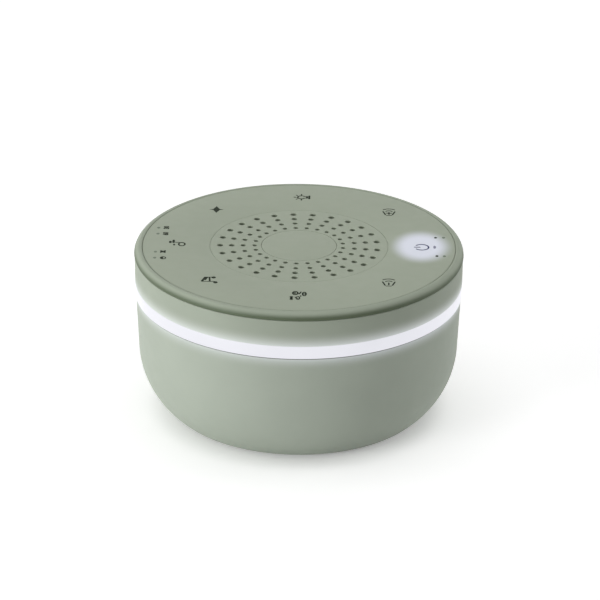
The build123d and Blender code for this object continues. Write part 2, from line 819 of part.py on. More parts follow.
# Cone: paper, with a flat lip under the surround and a neck round the former
with BuildPart() as cone:
    with BuildSketch(Plane.XZ):
        with BuildLine():
            Polyline(
                (former_r, neck_z),
                (lip_in_r, flange_top_z),
                (cone_edge_r, flange_top_z),
                (cone_edge_r, flange_top_z - cone_t),
                (lip_in_r, flange_top_z - cone_t),
                (former_r, neck_z - cone_t),
                close=True,
            )
        make_face()
    revolve(axis=Axis.Z)
cone.part.label = "cone"
export_step(cone.part, "parts/cone.step")

# Dust cap: a thin dome in flat bands, its rim on the cone
with BuildPart() as dust_cap:
    cone_rise = cone_depth / (lip_in_r - former_r)
    cap_rim_z = neck_z + (cap_r - former_r) * cone_rise + slide_gap
    dome_r = (cap_r**2 + cap_h**2) / (2 * cap_h)
    dome_start = degrees(acos(cap_r / dome_r))
    dome = arc_points(0, cap_rim_z + cap_h - dome_r, dome_r, dome_start, 90, cap_bands)
    with BuildSketch(Plane.XZ):
        with BuildLine():
            Polyline(*dome, *[(r, z + cap_t) for r, z in reversed(dome)], close=True)
        make_face()
    revolve(axis=Axis.Z)
dust_cap.part.label = "dust_cap"
export_step(dust_cap.part, "parts/dust_cap.step")

# Surround: a half roll in flat bands, between the flange's lip and the cone's lip
with BuildPart() as surround:
    roll_mid_r = cone_edge_r + roll_r
    roll_in_r = roll_r - surround_t
    lip_top_z = flange_top_z + surround_t
    with BuildSketch(Plane.XZ):
        with BuildLine():
            Polyline(
                (roll_mid_r + roll_in_r, flange_top_z),
                (basket_mouth_r + surround_lip_w, flange_top_z),
                (basket_mouth_r + surround_lip_w, lip_top_z),
                *arc_points(roll_mid_r, lip_top_z, roll_r, 0, 180, roll_bands),
                (lip_in_r + slide_gap, lip_top_z),
                (lip_in_r + slide_gap, flange_top_z),
                (roll_mid_r - roll_in_r, flange_top_z),
                *arc_points(roll_mid_r, lip_top_z, roll_in_r, 180, 0, roll_bands),
                close=True,
            )
        make_face()
    revolve(axis=Axis.Z)
surround.part.label = "surround"
export_step(surround.part, "parts/surround.step")

# Spider: a corrugated disc between the basket's ledge and the former
with BuildPart() as spider:
    spider_in_r = former_r + slide_gap
    wave_l = (spider_ledge_in_r - flange_t - spider_in_r) / spider_waves
    folds = [(spider_in_r, spider_seat_z)]
    for wave in range(spider_waves):
        wave_r = spider_in_r + wave * wave_l
        folds.append((wave_r + wave_l / 4, spider_seat_z + spider_wave_h / 2))
        folds.append((wave_r + wave_l * 3 / 4, spider_seat_z - spider_wave_h / 2))
    folds.append((spider_ledge_in_r - flange_t, spider_seat_z))
    folds.append((spider_ledge_r - slide_gap, spider_seat_z))
    with BuildSketch(Plane.XZ):
        with BuildLine():
            Polyline(*folds, *[(r, z + spider_t) for r, z in reversed(folds)], close=True)
        make_face()
    revolve(axis=Axis.Z)
spider.part.label = "spider"
export_step(spider.part, "parts/spider.step")

# Terminal strip under the flange, at the back
with BuildPart() as terminal_strip:
    with BuildSketch(Plane.XY.offset(flange_bottom_z)):
        with Locations((strip_x, 0)):
            Rectangle(strip_t, strip_w)
    extrude(amount=-strip_h)
terminal_strip.part.label = "terminal_strip"
export_step(terminal_strip.part, "parts/terminal_strip.step")

# Main board: a disc cut off beside the battery, holed for the towers
with BuildPart() as main_board:
    with BuildSketch(Plane.XY.offset(board_z)):
        Circle(board_r)
        with Locations((board_edge_x + board_r, 0)):
            Rectangle(2 * board_r, 2 * board_r, mode=Mode.SUBTRACT)
        with PolarLocations(tower_ring_r, tower_count):
            Circle(tower_r + board_hole_gap, mode=Mode.SUBTRACT)
        with Locations(*post_spots):
            Circle(board_screw_r + slide_gap, mode=Mode.SUBTRACT)
    extrude(amount=board_t)
main_board.part.label = "main_board"
export_step(main_board.part, "parts/main_board.step")

with BuildPart() as board_screws:
    with BuildSketch(Plane.XY.offset(board_top_z)):
        with Locations(*post_spots):
            RegularPolygon(board_screw_head_r, screw_sides)
    extrude(amount=board_screw_head_h)
    with BuildSketch(Plane.XY.offset(board_top_z)):
        with Locations(*post_spots):
            RegularPolygon(board_screw_r - slide_gap / 2, screw_sides)
    extrude(amount=-board_screw_len)
board_screws.part.label = "board_screws"
export_step(board_screws.part, "parts/board_screws.step")

with BuildPart() as board_chips:
    for chip_x, chip_y, chip_w, chip_h in chip_spots:
        with BuildSketch(Plane.XY.offset(board_top_z)):
            with Locations((chip_x, chip_y)):
                Rectangle(chip_w, chip_w)
        extrude(amount=chip_h)
board_chips.part.label = "board_chips"
export_step(board_chips.part, "parts/board_chips.step")

with BuildPart() as board_capacitors:
    with BuildSketch(Plane.XY.offset(board_top_z)):
        with Locations(*cap_spots):
            Circle(capacitor_r)
    extrude(amount=capacitor_h)
board_capacitors.part.label = "board_capacitors"
export_step(board_capacitors.part, "parts/board_capacitors.step")

with BuildPart() as board_coil:
    with BuildSketch(Plane.XY.offset(board_top_z)):
        with Locations(coil_spot):
            RectangleRounded(coil_w, coil_w, coil_round)
    extrude(amount=coil_h)
board_coil.part.label = "board_coil"
export_step(board_coil.part, "parts/board_coil.step")

# Sockets for the four leads
with BuildPart() as board_connectors:
    with BuildSketch(Plane.XY.offset(board_top_z)):
        with Locations((strip_x, 0)):
            Rectangle(plug_d, plug_l)
        with Locations((0, lead_ring_r)):
            Rectangle(2 * ribbon_plug_x, plug_d)
        with Locations((0, -lead_ring_r)):
            Rectangle(plug_l, plug_d)
        with Locations((battery_plug_x, battery_plug_y)):
            Rectangle(plug_l, plug_d)
    extrude(amount=plug_h)
board_connectors.part.label = "board_connectors"
export_step(board_connectors.part, "parts/board_connectors.step")

# Charging inlet: a steel shell with its tongue, flush in the bowl's slot
with BuildPart() as usb_socket:
    with BuildSketch(Plane.YZ.offset(usb_face_x)):
        with Locations((0, usb_z)):
            SlotOverall(usb_w, usb_h)
    extrude(amount=usb_l)
    with BuildSketch(Plane.YZ.offset(usb_face_x)):
        with Locations((0, usb_z)):
            SlotOverall(usb_w - 2 * usb_wall, usb_h - 2 * usb_wall)
    extrude(amount=usb_l - 2 * usb_wall, mode=Mode.SUBTRACT)
    with BuildSketch(Plane.YZ.offset(usb_face_x + 2 * usb_wall)):
        with Locations((0, usb_z)):
            Rectangle(usb_w - usb_h + usb_tongue_h, usb_tongue_h)
    extrude(amount=usb_l - 3 * usb_wall)
usb_socket.part.label = "usb_socket"
export_step(usb_socket.part, "parts/usb_socket.step")

# Battery cell on its cradle
with BuildPart() as battery_cell:
    with BuildSketch(Plane.XZ.offset(-cell_l / 2)):
        with Locations((cell_x, cell_z)):
            Circle(cell_r)
    extrude(amount=cell_l)
battery_cell.part.label = "battery_cell"
export_step(battery_cell.part, "parts/battery_cell.step")

with BuildPart() as battery_cradle:
    stop_y = cell_l / 2 + slide_gap
    with BuildSketch(Plane.XY.offset(floor_top_z)):
        with Locations((cell_x, 0)):
            Rectangle(cradle_w, 2 * saddle_y + saddle_w)
            RectangleRounded(stop_w, 2 * (stop_y + stop_t), stop_round)
    extrude(amount=cradle_t)
    with BuildSketch(Plane.XY.offset(floor_top_z)):
        with Locations((cell_x, stop_y + stop_t / 2), (cell_x, -stop_y - stop_t / 2)):
            Rectangle(stop_w - 2 * stop_t, stop_t)
    extrude(amount=stop_h)
    with BuildSketch(Plane.XY.offset(floor_top_z)):
        with Locations((cell_x, saddle_y), (cell_x, -saddle_y)):
            Rectangle(2 * (cell_r + cradle_side), saddle_w)
    extrude(amount=cell_z - floor_top_z)
    with BuildSketch(Plane.XZ.offset(-cell_l / 2)):
        with Locations((cell_x, cell_z)):
            Circle(cell_r + slide_gap)
    extrude(amount=cell_l, mode=Mode.SUBTRACT)
    revolve(bowl_inside(shell_wall), axis=Axis.Z, mode=Mode.INTERSECT)
battery_cradle.part.label = "battery_cradle"
export_step(battery_cradle.part, "parts/battery_cradle.step")

# Long screws that close the housing, one up each tower
with BuildPart() as housing_screws:
    with BuildSketch(Plane.XY.offset(tower_top_z - tower_cap)):
        with PolarLocations(tower_ring_r, tower_count):
            RegularPolygon(screw_head_r, screw_sides)
    extrude(amount=-screw_head_h)
    with BuildSketch(Plane.XY.offset(tower_top_z - tower_cap)):
        with PolarLocations(tower_ring_r, tower_count):
            RegularPolygon(screw_r, screw_sides)
    extrude(amount=screw_len)
housing_screws.part.label = "housing_screws"
export_step(housing_screws.part, "parts/housing_screws.step")

# Ribbon from the touch board's socket through the deck and the tray to the main board
ribbon_top_z = touch_board_z - touch_plug_h
ribbon_route = (
    (lead_ring_r, ribbon_top_z),
    (lead_ring_r, 44.0),
    (lead_ring_r + 4.0, 32.0),
    (lead_ring_r, 22.0),
    (lead_ring_r, plug_top_z),
)
with BuildPart() as touch_ribbon:
    with BuildSketch(Plane.YZ):
        with BuildLine():
            FilletPolyline(*ribbon_route, radius=corner_radii("touch_ribbon", ribbon_route))
        trace(line_width=ribbon_t)
    extrude(amount=ribbon_w / 2, both=True)
touch_ribbon.part.label = "touch_ribbon"
export_step(touch_ribbon.part, "parts/touch_ribbon.step")

# Lead of the light board: out of its socket, over the board's edge and down through the tray
light_lead_route = (
    (-light_plug_in_r, light_board_top_z + light_plug_h / 2),
    (-lead_ring_r - 1.2, light_board_top_z + light_plug_h / 2),
    (-lead_ring_r + 0.4, 45.5),
    (-lead_ring_r - 0.4, 32.0),
    (-lead_ring_r, 22.0),
    (-lead_ring_r, plug_top_z),
)
light_lead_radii = corner_radii("light_lead", light_lead_route)
with BuildPart() as light_lead:
    for side in (-1, 1):
        with BuildLine(Plane.YZ.offset(side * wire_pitch / 2)) as light_wire:
            FilletPolyline(*light_lead_route, radius=light_lead_radii)
        with BuildSketch(light_wire.line ^ 0):
            RegularPolygon(wire_d / 2, wire_sides)
        sweep(path=light_wire.line)
light_lead.part.label = "light_lead"
export_step(light_lead.part, "parts/light_lead.step")

# Lead of the loudspeaker, from its terminals down to the main board
speaker_lead_route = (
    (strip_x, flange_bottom_z - strip_h),
    (strip_x, 44.0),
    (strip_x - 2.7, 33.0),
    (strip_x, 22.5),
    (strip_x, plug_top_z),
)
speaker_lead_radii = corner_radii("speaker_lead", speaker_lead_route)
with BuildPart() as speaker_lead:
    for side in (-1, 1):
        with BuildLine(Plane.XZ.offset(side * wire_pitch / 2)) as speaker_wire:
            FilletPolyline(*speaker_lead_route, radius=speaker_lead_radii)
        with BuildSketch(speaker_wire.line ^ 0):
            RegularPolygon(wire_d / 2, wire_sides)
        sweep(path=speaker_wire.line)
speaker_lead.part.label = "speaker_lead"
export_step(speaker_lead.part, "parts/speaker_lead.step")

# Lead of the battery, from the cell's end round to the main board
battery_lead_route = (
    (cell_x - 6.5, cell_l / 2),
    (cell_x - 6.5, cell_l / 2 + 3.9),
    (ribbon_plug_x + 4.3, cell_l / 2 + 6.9),
    (ribbon_plug_x - 0.4, lead_ring_r - 5.0),
    (battery_plug_x, lead_ring_r - 14.0),
    (battery_plug_x, battery_plug_y + plug_d / 2),
)
battery_lead_radii = corner_radii("battery_lead", battery_lead_route)
with BuildPart() as battery_lead:
    for side in (-1, 1):
        wire_z = board_top_z + (plug_h + side * wire_pitch) / 2
        with BuildLine(Plane.XY.offset(wire_z)) as battery_wire:
            FilletPolyline(*battery_lead_route, radius=battery_lead_radii)
        with BuildSketch(battery_wire.line ^ 0):
            RegularPolygon(wire_d / 2, wire_sides)
        sweep(path=battery_wire.line)
battery_lead.part.label = "battery_lead"
export_step(battery_lead.part, "parts/battery_lead.step")
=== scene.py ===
"""Looks of the nursery speaker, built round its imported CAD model.

Metres, +Z up, in the model's own frame: the origin is on the table under the middle of the body,
and +X points to the power key. Sizes in the classes are in millimetres.
"""

import json
import logging
import math
from dataclasses import dataclass
from enum import Enum

import bmesh
import bpy
import numpy as np
from mathutils import Matrix, Vector


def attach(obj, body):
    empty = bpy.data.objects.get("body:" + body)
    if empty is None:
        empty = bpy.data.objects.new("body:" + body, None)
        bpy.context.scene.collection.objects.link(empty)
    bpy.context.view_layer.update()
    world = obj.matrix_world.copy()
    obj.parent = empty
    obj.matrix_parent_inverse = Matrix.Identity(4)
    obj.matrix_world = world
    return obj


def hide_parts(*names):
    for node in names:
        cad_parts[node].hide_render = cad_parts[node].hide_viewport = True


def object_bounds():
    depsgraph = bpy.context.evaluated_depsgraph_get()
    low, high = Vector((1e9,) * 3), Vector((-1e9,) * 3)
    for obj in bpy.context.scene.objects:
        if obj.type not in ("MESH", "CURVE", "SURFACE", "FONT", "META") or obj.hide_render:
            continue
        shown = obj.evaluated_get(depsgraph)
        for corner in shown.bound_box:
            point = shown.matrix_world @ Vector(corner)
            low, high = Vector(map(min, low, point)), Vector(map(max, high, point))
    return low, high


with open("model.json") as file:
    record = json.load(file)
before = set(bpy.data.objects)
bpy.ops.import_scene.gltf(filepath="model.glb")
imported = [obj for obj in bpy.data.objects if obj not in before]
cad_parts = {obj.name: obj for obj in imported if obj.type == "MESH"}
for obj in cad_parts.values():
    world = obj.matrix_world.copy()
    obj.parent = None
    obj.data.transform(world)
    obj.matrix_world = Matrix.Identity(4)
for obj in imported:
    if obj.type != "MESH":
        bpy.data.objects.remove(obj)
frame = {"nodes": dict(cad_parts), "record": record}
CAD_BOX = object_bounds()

MM = 0.001
WELD = 1e-7
FIXED_BODY = "housing"
SHARP_ANGLE = math.radians(32)
PHOTO_SIDE = 600
Colour = tuple[float, float, float]
Pair = tuple[float, float]
Triple = tuple[float, float, float]
Socket = bpy.types.NodeSocket
BLACK: Colour = (0.0, 0.0, 0.0)
WHITE: Colour = (1.0, 1.0, 1.0)
NOISE_RANGE = (0.3, 0.7)
LOG = logging.getLogger("nursery_speaker")


def metres(*lengths: float) -> tuple[float, ...]:
    """Lengths in millimetres, turned into metres."""
    return tuple(length * MM for length in lengths)


# Surfaces


@dataclass
class Surface:
    """Points of a surface and its faces, grouped by their number of corners.

    Args:
        points: One row of x, y, z for each point, in millimetres.
        faces: One array of point numbers for each number of corners.
    """

    points: np.ndarray
    faces: list[np.ndarray]

    def __add__(self, other: "Surface") -> "Surface":
        """Both surfaces as one, with the second one's point numbers moved up."""
        moved = [group + len(self.points) for group in other.faces]
        return Surface(np.vstack([self.points, other.points]), self.faces + moved)


def weld(surface: Surface) -> Surface:
    """Joins points that lie in one place and takes out the faces that this flattens.

    Points are the same where their coordinates, counted in weld lengths, round to the same whole
    numbers. A face of four corners with two joined neighbours becomes a triangle.

    Args:
        surface: The surface with its doubled points.

    Returns:
        The surface with each point once.
    """
    keys = np.round(surface.points * MM / WELD).astype(np.int64)
    _, first, number = np.unique(keys, axis=0, return_index=True, return_inverse=True)
    kept = []
    for group in surface.faces:
        group = number.ravel()[group]
        joined = group == np.roll(group, -1, axis=1)
        kept.append(group[~joined.any(axis=1)])
        once = joined.sum(axis=1) == 1
        for corner in range(4 if group.shape[1] == 4 else 0):
            kept.append(np.delete(group[once & joined[:, corner]], corner, axis=1))
    return Surface(surface.points[first], [group for group in kept if len(group)])


def grid_faces(rows: int, columns: int, round_rows: bool, round_columns: bool) -> np.ndarray:
    """Four-cornered faces of a grid whose points are numbered row by row.

    Args:
        rows: Number of rows.
        columns: Number of columns.
        round_rows: True where the last row joins the first.
        round_columns: True where the last column joins the first.

    Returns:
        One row of four point numbers for each face.
    """
    number = np.arange(rows * columns).reshape(rows, columns)
    number = np.vstack([number, number[:1]]) if round_rows else number
    number = np.hstack([number, number[:, :1]]) if round_columns else number
    corners = [number[:-1, :-1], number[1:, :-1], number[1:, 1:], number[:-1, 1:]]
    return np.stack(corners, axis=-1).reshape(-1, 4)


def turned(profile: np.ndarray, segments: int, leave_out: np.ndarray | None = None) -> Surface:
    """Carries a closed profile once round the vertical axis.

    Point (i, j) stands at radius r_j and height z_j, at i turns of 1 / segments.

    Args:
        profile: One row of radius and height for each point, counter-clockwise.
        segments: Number of steps round the axis.
        leave_out: True for each face to leave open, by segment and profile step.

    Returns:
        The turned surface.
    """
    angle = np.arange(segments)[:, None] * 2 * np.pi / segments
    radius, height = profile[None, :, 0], profile[None, :, 1]
    places = [radius * np.cos(angle), radius * np.sin(angle), height + 0 * angle]
    faces = grid_faces(segments, len(profile), True, True)
    if leave_out is not None:
        faces = faces[~leave_out.ravel()]
    return Surface(np.stack(places, axis=-1).reshape(-1, 3), [faces])


def joined(surfaces: list[Surface]) -> Surface:
    """Several surfaces as one."""
    return sum(surfaces[1:], surfaces[0])


def spun(surface: Surface, angle: float) -> Surface:
    """Turns a surface about the vertical axis.

    Args:
        surface: The surface.
        angle: How far it is turned, in radians.

    Returns:
        The turned surface.
    """
    x, y, z = surface.points.T
    cos, sin = math.cos(angle), math.sin(angle)
    return Surface(np.column_stack([x * cos - y * sin, x * sin + y * cos, z]), surface.faces)


def loops(rings: np.ndarray) -> Surface:
    """A strip through closed rings of points, from the first ring to the last.

    Args:
        rings: Points as ring, place in the ring, and x, y, z.

    Returns:
        The strip.
    """
    faces = grid_faces(rings.shape[0], rings.shape[1], False, True)
    return Surface(rings.reshape(-1, 3), [faces])


def rounded(corners: list[Pair], radii: list[float], steps: int = 6) -> np.ndarray:
    """Puts an arc at each corner of a closed outline.

    The arc's centre is on the corner's bisector, at radius / sin(half angle) from the corner. Its
    points turn evenly from the foot on one side to the foot on the other.

    Args:
        corners: The outline's corners.
        radii: The arc's radius at each corner, 0 where it stays sharp.
        steps: Number of steps in each arc.

    Returns:
        One row for each point of the outline.
    """
    corner, radius = np.array(corners, float), np.array(radii, float)
    back = np.roll(corner, 1, axis=0) - corner
    ahead = np.roll(corner, -1, axis=0) - corner
    back /= np.linalg.norm(back, axis=1)[:, None]
    ahead /= np.linalg.norm(ahead, axis=1)[:, None]
    half = np.arccos(np.clip((back * ahead).sum(axis=1), -1, 1)) / 2
    foot = (radius / np.tan(half))[:, None]
    bisector = (back + ahead) / np.linalg.norm(back + ahead, axis=1)[:, None]
    centre = corner + bisector * (radius / np.sin(half))[:, None]
    start, end = corner + back * foot - centre, corner + ahead * foot - centre
    sweep = (np.pi - 2 * half)[:, None, None]
    share = np.linspace(0, 1, steps + 1)[None, :, None]
    arc = start[:, None] * np.sin((1 - share) * sweep) + end[:, None] * np.sin(share * sweep)
    points = centre[:, None] + arc / np.sin(sweep)
    keep = np.ones(points.shape[:2], bool)
    keep[radius == 0, 1:] = False
    return points[keep]


def arc(centre: Pair, radius: float, start: float, end: float, steps: int) -> np.ndarray:
    """Points on an arc, evenly spaced from start to end degrees."""
    turn = np.radians(np.linspace(start, end, steps + 1))
    return np.array(centre) + radius * np.stack([np.cos(turn), np.sin(turn)], axis=1)


def towards(border: np.ndarray, centre: np.ndarray, core: float, radius: float) -> np.ndarray:
    """Points of a slot's or a round hole's edge that face the points of a border round it.

    Each border point's nearest point on the slot's core line is found, and the edge point lies one
    radius from there towards the border point. A round hole's core line has no length.

    Args:
        border: One row for each border point.
        centre: The hole's centre.
        core: Half the length of the core line, along the first coordinate.
        radius: The hole's radius, or half the slot's height.

    Returns:
        One row for each edge point.
    """
    nearest = np.broadcast_to(centre, border.shape).astype(float).copy()
    nearest[:, 0] += np.clip(border[:, 0] - centre[0], -core, core)
    way = border - nearest
    return nearest + radius * way / np.linalg.norm(way, axis=1)[:, None]


def box_border(low: Pair, high: Pair, counts: tuple[int, int]) -> np.ndarray:
    """Points round a rectangle, counter-clockwise from its low corner.

    Args:
        low: Its low corner.
        high: Its high corner.
        counts: Number of steps along its first and its second side.

    Returns:
        One row for each point, each corner once.
    """
    first = np.linspace(low[0], high[0], counts[0] + 1)
    second = np.linspace(low[1], high[1], counts[1] + 1)
    sides = [
        np.stack([first[:-1], np.full(counts[0], low[1])], axis=1),
        np.stack([np.full(counts[1], high[0]), second[:-1]], axis=1),
        np.stack([first[:0:-1], np.full(counts[0], high[1])], axis=1),
        np.stack([np.full(counts[1], low[0]), second[:0:-1]], axis=1),
    ]
    return np.vstack(sides)


def prism(outline: np.ndarray, low: float, high: float) -> Surface:
    """A flat plate with the given outline, counter-clockwise, between two heights.

    Args:
        outline: One row of x and y for each point.
        low: Height of its underside.
        high: Height of its top.

    Returns:
        The closed plate.
    """
    count = len(outline)
    floor = np.column_stack([outline, np.full(count, low)])
    roof = np.column_stack([outline, np.full(count, high)])
    number = np.arange(count)
    following = np.roll(number, -1)
    sides = np.stack([number, following, following + count, number + count], axis=1)
    return Surface(np.vstack([floor, roof]), [number[None, ::-1], number[None] + count, sides])


def build(
    surface: Surface, name: str, look: "Look", slot: str | None = None, *nodes: str
) -> bpy.types.Object:
    """Makes the mesh object of a piece on the fixed body.

    Args:
        surface: The closed surface, in millimetres.
        name: The piece's name.
        look: What it is finished in.
        slot: The record's material slot that it stands for, if any; it is not used.
        nodes: The CAD nodes that it replaces.

    Returns:
        The object, its place in its mesh.
    """
    surface = weld(surface)
    mesh = bpy.data.meshes.new(name)
    faces = [face for group in surface.faces for face in group.tolist()]
    mesh.from_pydata((surface.points * MM).tolist(), [], faces)
    return settle(mesh, name, look, slot, *nodes)


def settle(
    mesh: bpy.types.Mesh, name: str, look: "Look", slot: str | None = None, *nodes: str
) -> bpy.types.Object:
    """Turns a mesh's faces outwards, smooths it and puts it on the fixed body as a piece.

    Args:
        mesh: The finished mesh, in metres.
        name: The piece's name.
        look: What it is finished in.
        slot: The record's material slot that it stands for, if any; it is not used.
        nodes: The CAD nodes that it replaces.

    Returns:
        The object, its place in its mesh.
    """
    work = bmesh.new()
    work.from_mesh(mesh)
    bmesh.ops.remove_doubles(work, verts=work.verts, dist=WELD)
    bmesh.ops.recalc_face_normals(work, faces=work.faces)
    open_edges = sum(1 for edge in work.edges if len(edge.link_faces) != 2)
    work.to_mesh(mesh)
    work.free()
    mesh.shade_smooth()
    mesh.set_sharp_from_angle(angle=SHARP_ANGLE)
    piece = bpy.data.objects.new(name, mesh)
    bpy.context.scene.collection.objects.link(piece)
    mesh.materials.append(look.value.material())
    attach(piece, FIXED_BODY)
    if nodes:
        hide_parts(*nodes)
    LOG.info("%s: %d points, %d open edges", name, len(mesh.vertices), open_edges)
    return piece


# Finishes


class NodeSheet:
    """A material's nodes while they are laid out."""

    def __init__(self, name: str) -> None:
        """Starts the material with a Principled shader and Object coordinates.

        Args:
            name: The material's name.
        """
        self.material = bpy.data.materials.new(name)
        self.material.use_nodes = True
        self.tree = self.material.node_tree
        self.tree.nodes.clear()
        self.shader = self.add("ShaderNodeBsdfPrincipled")
        output = self.add("ShaderNodeOutputMaterial")
        self.tree.links.new(self.shader.outputs["BSDF"], output.inputs["Surface"])
        self.place = self.add("ShaderNodeTexCoord").outputs["Object"]

    def add(self, kind: str, **settings: object) -> bpy.types.Node:
        """Adds a node.

        Args:
            kind: The node's type.
            settings: Its properties.

        Returns:
            The node.
        """
        node = self.tree.nodes.new(kind)
        for key, value in settings.items():
            setattr(node, key, value)
        return node

    def feed(self, socket: Socket, value: object) -> None:
        """Links a socket to another, or sets its value.

        Args:
            socket: The input.
            value: An output to link, or a number, vector or colour.
        """
        if isinstance(value, Socket):
            self.tree.links.new(value, socket)
        elif isinstance(value, tuple) and len(value) == 3 and socket.type == "RGBA":
            socket.default_value = (*value, 1.0)
        else:
            socket.default_value = value

    def set(self, **values: object) -> None:
        """Feeds the shader's inputs, named with underscores for spaces."""
        for key, value in values.items():
            self.feed(self.shader.inputs[key.replace("_", " ")], value)

    def math(self, operation: str, first: object, second: object = 0.0) -> Socket:
        """Works out two values with a Math node.

        Args:
            operation: What it does.
            first: Its first value.
            second: Its second value.

        Returns:
            The result.
        """
        node = self.add("ShaderNodeMath", operation=operation)
        self.feed(node.inputs[0], first)
        self.feed(node.inputs[1], second)
        return node.outputs[0]

    def stretch(self, scale: Triple) -> Socket:
        """Stretches the Object coordinates along the axes.

        Args:
            scale: The factor along each axis.

        Returns:
            The stretched coordinates.
        """
        node = self.add("ShaderNodeMapping")
        self.feed(node.inputs["Vector"], self.place)
        self.feed(node.inputs["Scale"], scale)
        return node.outputs["Vector"]

    def noise(self, per_metre: float, detail: float = 2.0, place: Socket | None = None) -> Socket:
        """Makes a noise from 0 to 1.

        Args:
            per_metre: Its lumps to the metre.
            detail: Number of finer layers in it.
            place: The coordinates that it reads, if not the object's own.

        Returns:
            The noise.
        """
        node = self.add("ShaderNodeTexNoise")
        self.feed(node.inputs["Vector"], place or self.place)
        self.feed(node.inputs["Scale"], per_metre)
        self.feed(node.inputs["Detail"], detail)
        return node.outputs["Fac"]

    def cells(self, per_metre: float) -> Socket:
        """Scatters points and measures the way to the nearest.

        Args:
            per_metre: Number of points to the metre.

        Returns:
            The distance, in cells.
        """
        node = self.add("ShaderNodeTexVoronoi")
        self.feed(node.inputs["Vector"], self.place)
        self.feed(node.inputs["Scale"], per_metre)
        return node.outputs["Distance"]

    def remap(self, value: Socket, start: Pair, end: Pair = (0.0, 1.0)) -> Socket:
        """Turns one range into another, with a soft beginning and end, clamped.

        Args:
            value: What is turned.
            start: Its range.
            end: The new range.

        Returns:
            The new value.
        """
        node = self.add("ShaderNodeMapRange", interpolation_type="SMOOTHSTEP")
        for socket, number in zip(list(node.inputs)[1:5], (*start, *end)):
            socket.default_value = number
        self.feed(node.inputs[0], value)
        return node.outputs[0]

    def mix(self, share: object, first: object, second: object) -> Socket:
        """Mixes two colours.

        Args:
            share: How much of the second, from 0 to 1.
            first: The first colour.
            second: The second colour.

        Returns:
            The mixed colour.
        """
        node = self.add("ShaderNodeMix", data_type="RGBA")
        self.feed(node.inputs[0], share)
        self.feed(node.inputs[6], first)
        self.feed(node.inputs[7], second)
        return node.outputs[2]

    def axis(self, name: str) -> Socket:
        """Reads one of the Object coordinates.

        Args:
            name: X, Y or Z.

        Returns:
            The coordinate, in metres.
        """
        node = self.add("ShaderNodeSeparateXYZ")
        self.feed(node.inputs[0], self.place)
        return node.outputs[name]

    def length(self, *legs: Socket) -> Socket:
        """Length of a flat vector: the root of the sum of its two legs' squares."""
        return self.math("SQRT", self.math("ADD", *(self.math("POWER", leg, 2.0) for leg in legs)))

    def radius(self) -> Socket:
        """Distance from the vertical axis."""
        return self.length(self.axis("X"), self.axis("Y"))

    def glow(self, share: Socket, light: Colour) -> None:
        """Lights the surface in a colour, by a share from 0 to 1."""
        self.set(Emission_Color=self.mix(share, BLACK, light), Emission_Strength=1.0)

    def relief(self, height: Socket, depth_mm: float) -> None:
        """Raises the surface with a Bump node.

        Args:
            height: How high each place is, from 0 to 1.
            depth_mm: What 1 stands for, in millimetres.
        """
        node = self.add("ShaderNodeBump")
        node.inputs["Strength"].default_value = 1.0
        node.inputs["Distance"].default_value = depth_mm * MM
        self.feed(node.inputs["Height"], height)
        self.set(Normal=node.outputs["Normal"])


def shade(colour: Colour, share: float) -> Colour:
    """A colour made darker or lighter by a share."""
    return (colour[0] * share, colour[1] * share, colour[2] * share)


@dataclass(frozen=True)
class Finish:
    """What a surface is finished in.

    Args:
        name: The material's name.
        tint: Its colour, linear.
        roughness: How matt it is.
    """

    name: str
    tint: Colour
    roughness: float

    def material(self) -> bpy.types.Material:
        """Makes the material, once.

        Returns:
            The material.
        """
        made = bpy.data.materials.get(self.name)
        if made is None:
            sheet = NodeSheet(self.name)
            self.lay_out(sheet)
            made = sheet.material
            made.diffuse_color = (*self.tint, 1.0)
        return made

    def lay_out(self, sheet: NodeSheet) -> None:
        """Lays out the nodes of the finish."""
        raise NotImplementedError

    def mottled(self, sheet: NodeSheet, per_metre: float, spread: float) -> Socket:
        """The tint with slow patches a little darker and lighter."""
        patches = sheet.remap(sheet.noise(per_metre, 3.0), NOISE_RANGE)
        return sheet.mix(patches, shade(self.tint, 1 - spread), shade(self.tint, 1 + spread))

    def worn(self, sheet: NodeSheet, per_metre: float, spread: float) -> Socket:
        """The roughness with a little change from place to place."""
        ends = (self.roughness - spread, self.roughness + spread)
        return sheet.remap(sheet.noise(per_metre), NOISE_RANGE, ends)


@dataclass(frozen=True)
class Glow:
    """Light that comes through a surface near a lit edge.

    Args:
        height: Height of the lit edge, in millimetres.
        reach: How far the light goes from it.
        light: Its colour at the edge, linear.
        start: How far from the edge it begins.
        fall: The power with which it falls off.
    """

    height: float
    reach: float
    light: Colour
    start: float = 0.0
    fall: float = 2.2


@dataclass(frozen=True)
class PaintedRimShade:
    """Painted shade at the foot of a rounded rim: the tint turns dark where the rim turns under.

    Args:
        low: Height at which the shade is full, in millimetres.
        high: Height at which it ends.
        tint: Its colour, linear.
    """

    low: float
    high: float
    tint: Colour


